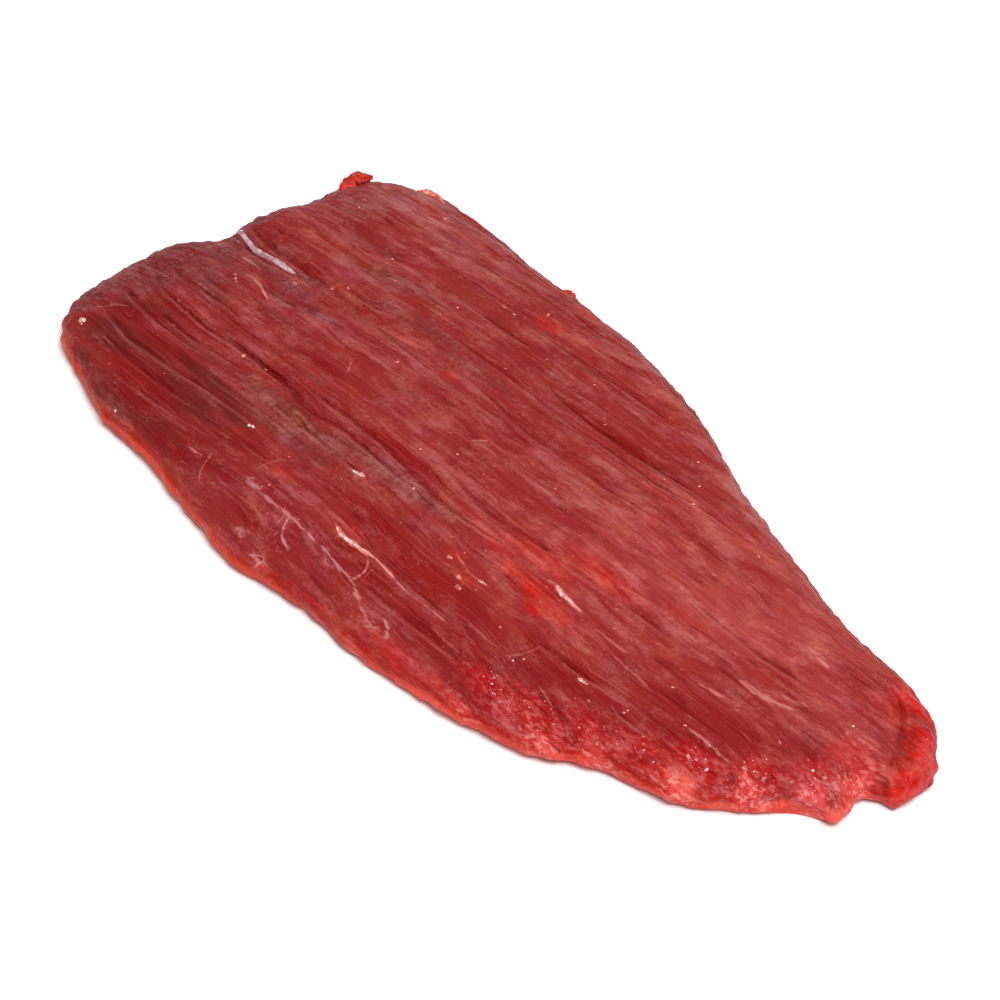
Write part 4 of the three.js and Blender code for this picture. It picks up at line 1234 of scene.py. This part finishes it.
# %% Tendon and fat
TENDON = [
    [(-170.5, 12, 0.8), (-168, 10.6, 1.7), (-164, 9, 1.4), (-158, 7, 0.9), (-148, 5, 0.9), (-142, 5, 1.1),
     (-136, 5.8, 1.1), (-131, 6.2, 1.1), (-127, 6.4, 0.9), (-123.5, 7, 0.3)],
]
FAT_STREAKS = [
    [(-8, -56.2, 0.2), (-5.5, -57, 0.5), (-2, -57, 0.7), (1, -56.4, 0.6), (4, -55.6, 0.3), (7, -54.8, 0.4),
     (10, -54.6, 0.3), (13, -54.6, 0.1)],
    [(53, -18.6, 0.2), (55, -18.6, 0.5), (58, -19.5, 0.7), (60.5, -19.3, 0.5), (64, -19, 0.2)],
    [(36.6, -35.4, 0.2), (38.6, -34.8, 0.4), (40.4, -34.6, 0.2)],
    [(-27, -37.4, 0.3), (-25.4, -36.9, 0.7), (-23.2, -36.2, 1.0), (-21.8, -35.8, 0.5)],
    [(126, -22, 0.2), (129, -21.6, 0.3), (132, -21.4, 0.2)],
    [(85.5, -35.6, 0.2), (87, -35.2, 0.6), (89.5, -34.6, 0.3)],
]
FLATTENED = 0.5                  # height of a ribbon as a share of its width
TENDON_SUNK, TENDON_ROUGH = 0.15, 0.08      # mm
FAT_SUNK, FAT_ROUGH = 0.12, 0.25            # mm

tendon_parts = [laid_ribbon("tendon_part", path, FLATTENED, TENDON_SUNK, TENDON_ROUGH) for path in TENDON]
join_as("tendon", tendon_parts, tissues["tendon_wet_lilac_white"])
fat_parts = [laid_ribbon("fat_part", path, FLATTENED, FAT_SUNK, FAT_ROUGH) for path in FAT_STREAKS]
join_as("fat_streaks", fat_parts, tissues["beef_fat_pinkish_white"])

# %% [markdown]
# ## Step 13: torn tags
#
# The knife has left three loose tags of lean on the far rim: a bright red flap at the corner, a
# pale ragged shred beside it, and a small red nub. Each is a tube along a spine that hangs freely
# in space, pressed flat and then roughened, which is how a torn bundle of fibres ends.

# %% Torn tags
RED_TAGS = [
    [(-160.5, 52, 9.6, 1.6), (-162.6, 55, 9.8, 2.8), (-163.6, 58.4, 10.0, 3.2), (-163.0, 61, 10.2, 3.0),
     (-161.8, 63.4, 10.2, 2.4), (-160.8, 64.8, 10.0, 1.2)],
    [(-70.5, 80.6, 5.6, 0.8), (-69, 82.6, 6.0, 1.4), (-66.4, 82.8, 6.0, 1.2), (-64, 81.6, 5.8, 0.5)],
]
PALE_TAGS = [
    [(-147, 75, 7.6, 0.7), (-144.4, 76.8, 8.0, 1.5), (-141, 77.6, 8.0, 1.8), (-138, 77.2, 8.2, 1.8),
     (-135, 76.8, 8.4, 1.6), (-133, 76, 8.6, 0.6)],
]
RED_THICKNESS, RED_ROUGH = 0.38, 0.3        # share of the width that is left, and mm
PALE_THICKNESS, PALE_ROUGH = 0.4, 0.35


def torn_tag(name, spine, thickness, rough):
    """A flat ragged tongue along (x, y, z, half width) in mm."""
    tag = ribbon(name, [(x, y, half) for x, y, _, half in spine], [z for _, _, z, _ in spine])
    knots = np.array(spine)
    for vertex in tag.data.vertices:
        x, y, z = vertex.co / MM
        level_here = knots[np.hypot(knots[:, 0] - x, knots[:, 1] - y).argmin(), 2]
        z = level_here + (z - level_here) * thickness
        vertex.co = Vector((x, y, z)) * MM + Vector([random.uniform(-rough, rough) * MM for _ in range(3)])
    return tag


red_parts = [torn_tag("red_tag", spine, RED_THICKNESS, RED_ROUGH) for spine in RED_TAGS]
join_as("red_tags", red_parts, tissues["torn_lean_bright_red"])
pale_parts = [torn_tag("pale_tag", spine, PALE_THICKNESS, PALE_ROUGH) for spine in PALE_TAGS]
join_as("pale_tags", pale_parts, tissues["torn_lean_with_thin_fat"])

# %% [markdown]
# ## Step 14: flecks
#
# Crumbs of fat and torn ends of fibres stick to the surface, about a millimetre across. One small
# lump is modelled from a sphere that is pulled out of round, and every fleck is a copy of it with
# its own mesh, size and turn. The largest lie where they are seen, and the rest are scattered by a
# seeded rule. The wet side by the tip has clusters of crumbs that are finer still. Their pale colour,
# and that of some white flecks, is partly a painted highlight for the glints of the moist meat.

# %% Places of the flecks
# Some white flecks, the largest at the square end and those by the tip, sit where the meat glints: their
# white is partly a painted highlight
WHITE_FLECKS = [
    # x, y, length and width in mm
    (-151, -62.8, 3.6, 2.4), (-149.4, -63.8, 1.2, 0.9), (-105, -77.6, 1.4, 1.1), (-65, -51, 1.8, 1.2),
    (-63.6, -50.5, 1.9, 1.1), (-7, -27.6, 1.0, 0.8), (-111, 38.4, 1.1, 0.8), (-121, 68.4, 1.0, 0.8),
    (34, 54.4, 1.0, 0.8), (128, -28.8, 1.5, 1.1), (134.6, -27.4, 0.9, 1.6), (153, -3.6, 1.2, 1.0),
    (149, 15.4, 1.0, 0.8), (104, -31.4, 0.9, 0.7), (69, -46.6, 0.9, 0.7), (70.4, -43.6, 0.9, 0.7),
    (-60, 4.2, 0.8, 1.3), (50, 38.6, 1.0, 0.7), (44, 46.4, 0.7, 1.2), (-73, 38.4, 0.9, 0.7),
]
TINTED_FLECKS = [
    (-86, -30.6, 1.5, 1.1), (-132, -12.6, 1.5, 1.2), (-130.4, -13.4, 1.3, 1.1), (-133.6, -11.6, 1.2, 1.0),
    (-123, -68.6, 1.0, 0.8), (-106, -57.6, 1.0, 0.7), (-128, -34.6, 1.3, 0.8), (-135, -33.6, 1.5, 0.8),
    (-126, -41.4, 2.0, 0.8), (-157, -3.6, 1.8, 0.9), (-96, -33, 1.6, 2.2), (-98, 30.4, 2.0, 0.9),
    (-64, 51.4, 1.8, 0.8), (-59, 51.6, 1.8, 0.9), (-51, 60, 1.0, 1.8), (-33, 45.4, 1.1, 0.8),
    (-14, 50.4, 1.1, 0.9), (4, 40.4, 0.9, 0.8), (20, 7.4, 1.0, 0.8), (-20, -15.6, 1.2, 0.8),
    (-11, -7.6, 1.2, 0.9), (35, -41.6, 2.8, 1.6), (31.6, -39, 3.0, 1.6), (23, -36, 2.4, 1.5),
    (25, -31.6, 1.1, 0.8), (106, -16.2, 2.0, 0.7), (78, -15.6, 0.9, 0.8), (104, -32.8, 1.0, 0.8),
    (132, -25.6, 1.1, 0.9), (99, -45.6, 1.4, 0.9), (106, -44.6, 1.3, 0.9), (140, -4.6, 1.6, 0.8),
    (79, 22.4, 1.6, 0.8), (79, 40.4, 1.8, 0.7), (-165, 63.4, 2.0, 0.9), (-144, 47.4, 2.6, 0.8),
    (-147, 51.8, 1.8, 0.8), (-36, -62.6, 1.8, 0.7), (119, -22.6, 1.6, 0.9), (157, -2.6, 1.4, 1.2),
    (152, -10.6, 1.3, 1.0), (141, -18.6, 1.6, 1.3), (115, -37.6, 1.0, 0.7), (56, -41.6, 1.2, 0.8),
    (94, -38, 1.4, 0.8), (-119, 3, 2.4, 1.6), (-104, 15, 1.8, 1.0), (-108, 11, 1.6, 1.2),
]
# The crumbs stand for the glints of the wet side: their pale colour is partly a painted highlight
GLINT_CRUMBS = [
    # place, half length and half width in mm of a cluster of tiny crumbs, and how many
    (76, -55, 13, 5, 36), (91, -50, 10, 4, 12), (106, -42, 8, 4, 8), (118, -36, 8, 4, 12),
    (131, -27, 8, 4, 22), (146, -16, 7, 6, 26), (153, -5, 5, 6, 12), (68, -46, 5, 4, 6),
]
print("placed flecks", len(WHITE_FLECKS) + len(TINTED_FLECKS), "clusters", len(GLINT_CRUMBS))

# %% One fleck
PULL = 0.3                       # how far a point is pulled, as a share of the radius
TURN = 0.5                       # radians that a fleck is turned off the fibres at most
FLAT = 0.6                       # height of a fleck as a share of its width
SUNK = 0.1 * MM


def pulled_ball(name, subdivisions):
    """A ball a millimetre across, pulled out of round."""
    bpy.ops.object.select_all(action="DESELECT")
    bpy.ops.mesh.primitive_ico_sphere_add(subdivisions=subdivisions, radius=0.5 * MM, location=(0, 0, 0))
    ball = bpy.context.object
    ball.name = name
    for vertex in ball.data.vertices:
        vertex.co *= 1 + random.uniform(-PULL, PULL)
    return ball


def drop_fleck(form, x, y, length, width):
    """A flat copy of the form, of that size, on the meat, turned a little off the fibres."""
    fleck = form.copy()
    fleck.data = form.data.copy()
    bpy.context.scene.collection.objects.link(fleck)
    turn = math.atan(FIBRE_SLOPE) + random.uniform(-TURN, TURN)
    _, spot, up = meat_below(x * MM, y * MM)
    along = Vector((math.cos(turn), math.sin(turn), 0))
    along = (along - up * along.dot(up)).normalized()
    across = up.cross(along)
    for vertex in fleck.data.vertices:
        lift = vertex.co.z * width * FLAT - SUNK
        vertex.co = spot + along * vertex.co.x * length + across * vertex.co.y * width + up * lift
    return fleck


lump = pulled_ball("lump", 2)
crumb = pulled_ball("crumb", 1)
print("a lump has", len(lump.data.polygons), "faces, a crumb has", len(crumb.data.polygons))

# %% Drop the flecks
SCATTERED = 8                    # flecks that chance places
FIELD = (155, 70)                # mm, half length and half width that they are scattered over
FLAT_ENOUGH = 0.8                # share by which the surface faces up there
SMALL = (0.4, 0.75)              # mm, the widths of the scattered ones
SMALL_STRETCH = (1.0, 2.2)       # their lengths, as a multiple of their widths
TINY = (0.3, 0.6)                # mm, the widths of the crumbs
TINY_STRETCH = (1.0, 3.0)

white_flecks = [drop_fleck(lump, *fleck) for fleck in WHITE_FLECKS]
tinted_flecks = [drop_fleck(lump, *fleck) for fleck in TINTED_FLECKS]
while len(tinted_flecks) < len(TINTED_FLECKS) + SCATTERED:
    x, y = [random.uniform(-half, half) for half in FIELD]
    hit, _, facing = meat_below(x * MM, y * MM)
    if hit and facing.z > FLAT_ENOUGH:
        size = random.uniform(*SMALL)
        tinted_flecks.append(drop_fleck(lump, x, y, size * random.uniform(*SMALL_STRETCH), size))
for x, y, along, across, how_many in GLINT_CRUMBS:
    for _ in range(how_many):
        spot = (x + along * random.triangular(-1, 1), y + across * random.triangular(-1, 1))
        size = random.uniform(*TINY)
        # One crumb in four is white
        heap = random.choice((white_flecks, tinted_flecks, tinted_flecks, tinted_flecks))
        heap.append(drop_fleck(crumb, *spot, size * random.uniform(*TINY_STRETCH), size))
bpy.data.objects.remove(lump)
bpy.data.objects.remove(crumb)
join_as("fat_flecks_and_glints", white_flecks, tissues["beef_fat_pinkish_white"])
join_as("torn_flecks_and_glints", tinted_flecks, tissues["beef_fat_tinted_by_meat"])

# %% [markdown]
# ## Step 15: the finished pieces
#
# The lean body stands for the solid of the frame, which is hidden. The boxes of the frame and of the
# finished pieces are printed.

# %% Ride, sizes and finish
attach(lean, "root")
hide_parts("steak")

looks_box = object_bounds()
sizes = {"cad": [list(corner) for corner in cad_box], "looks": [list(corner) for corner in looks_box]}
print("sizes", sizes)
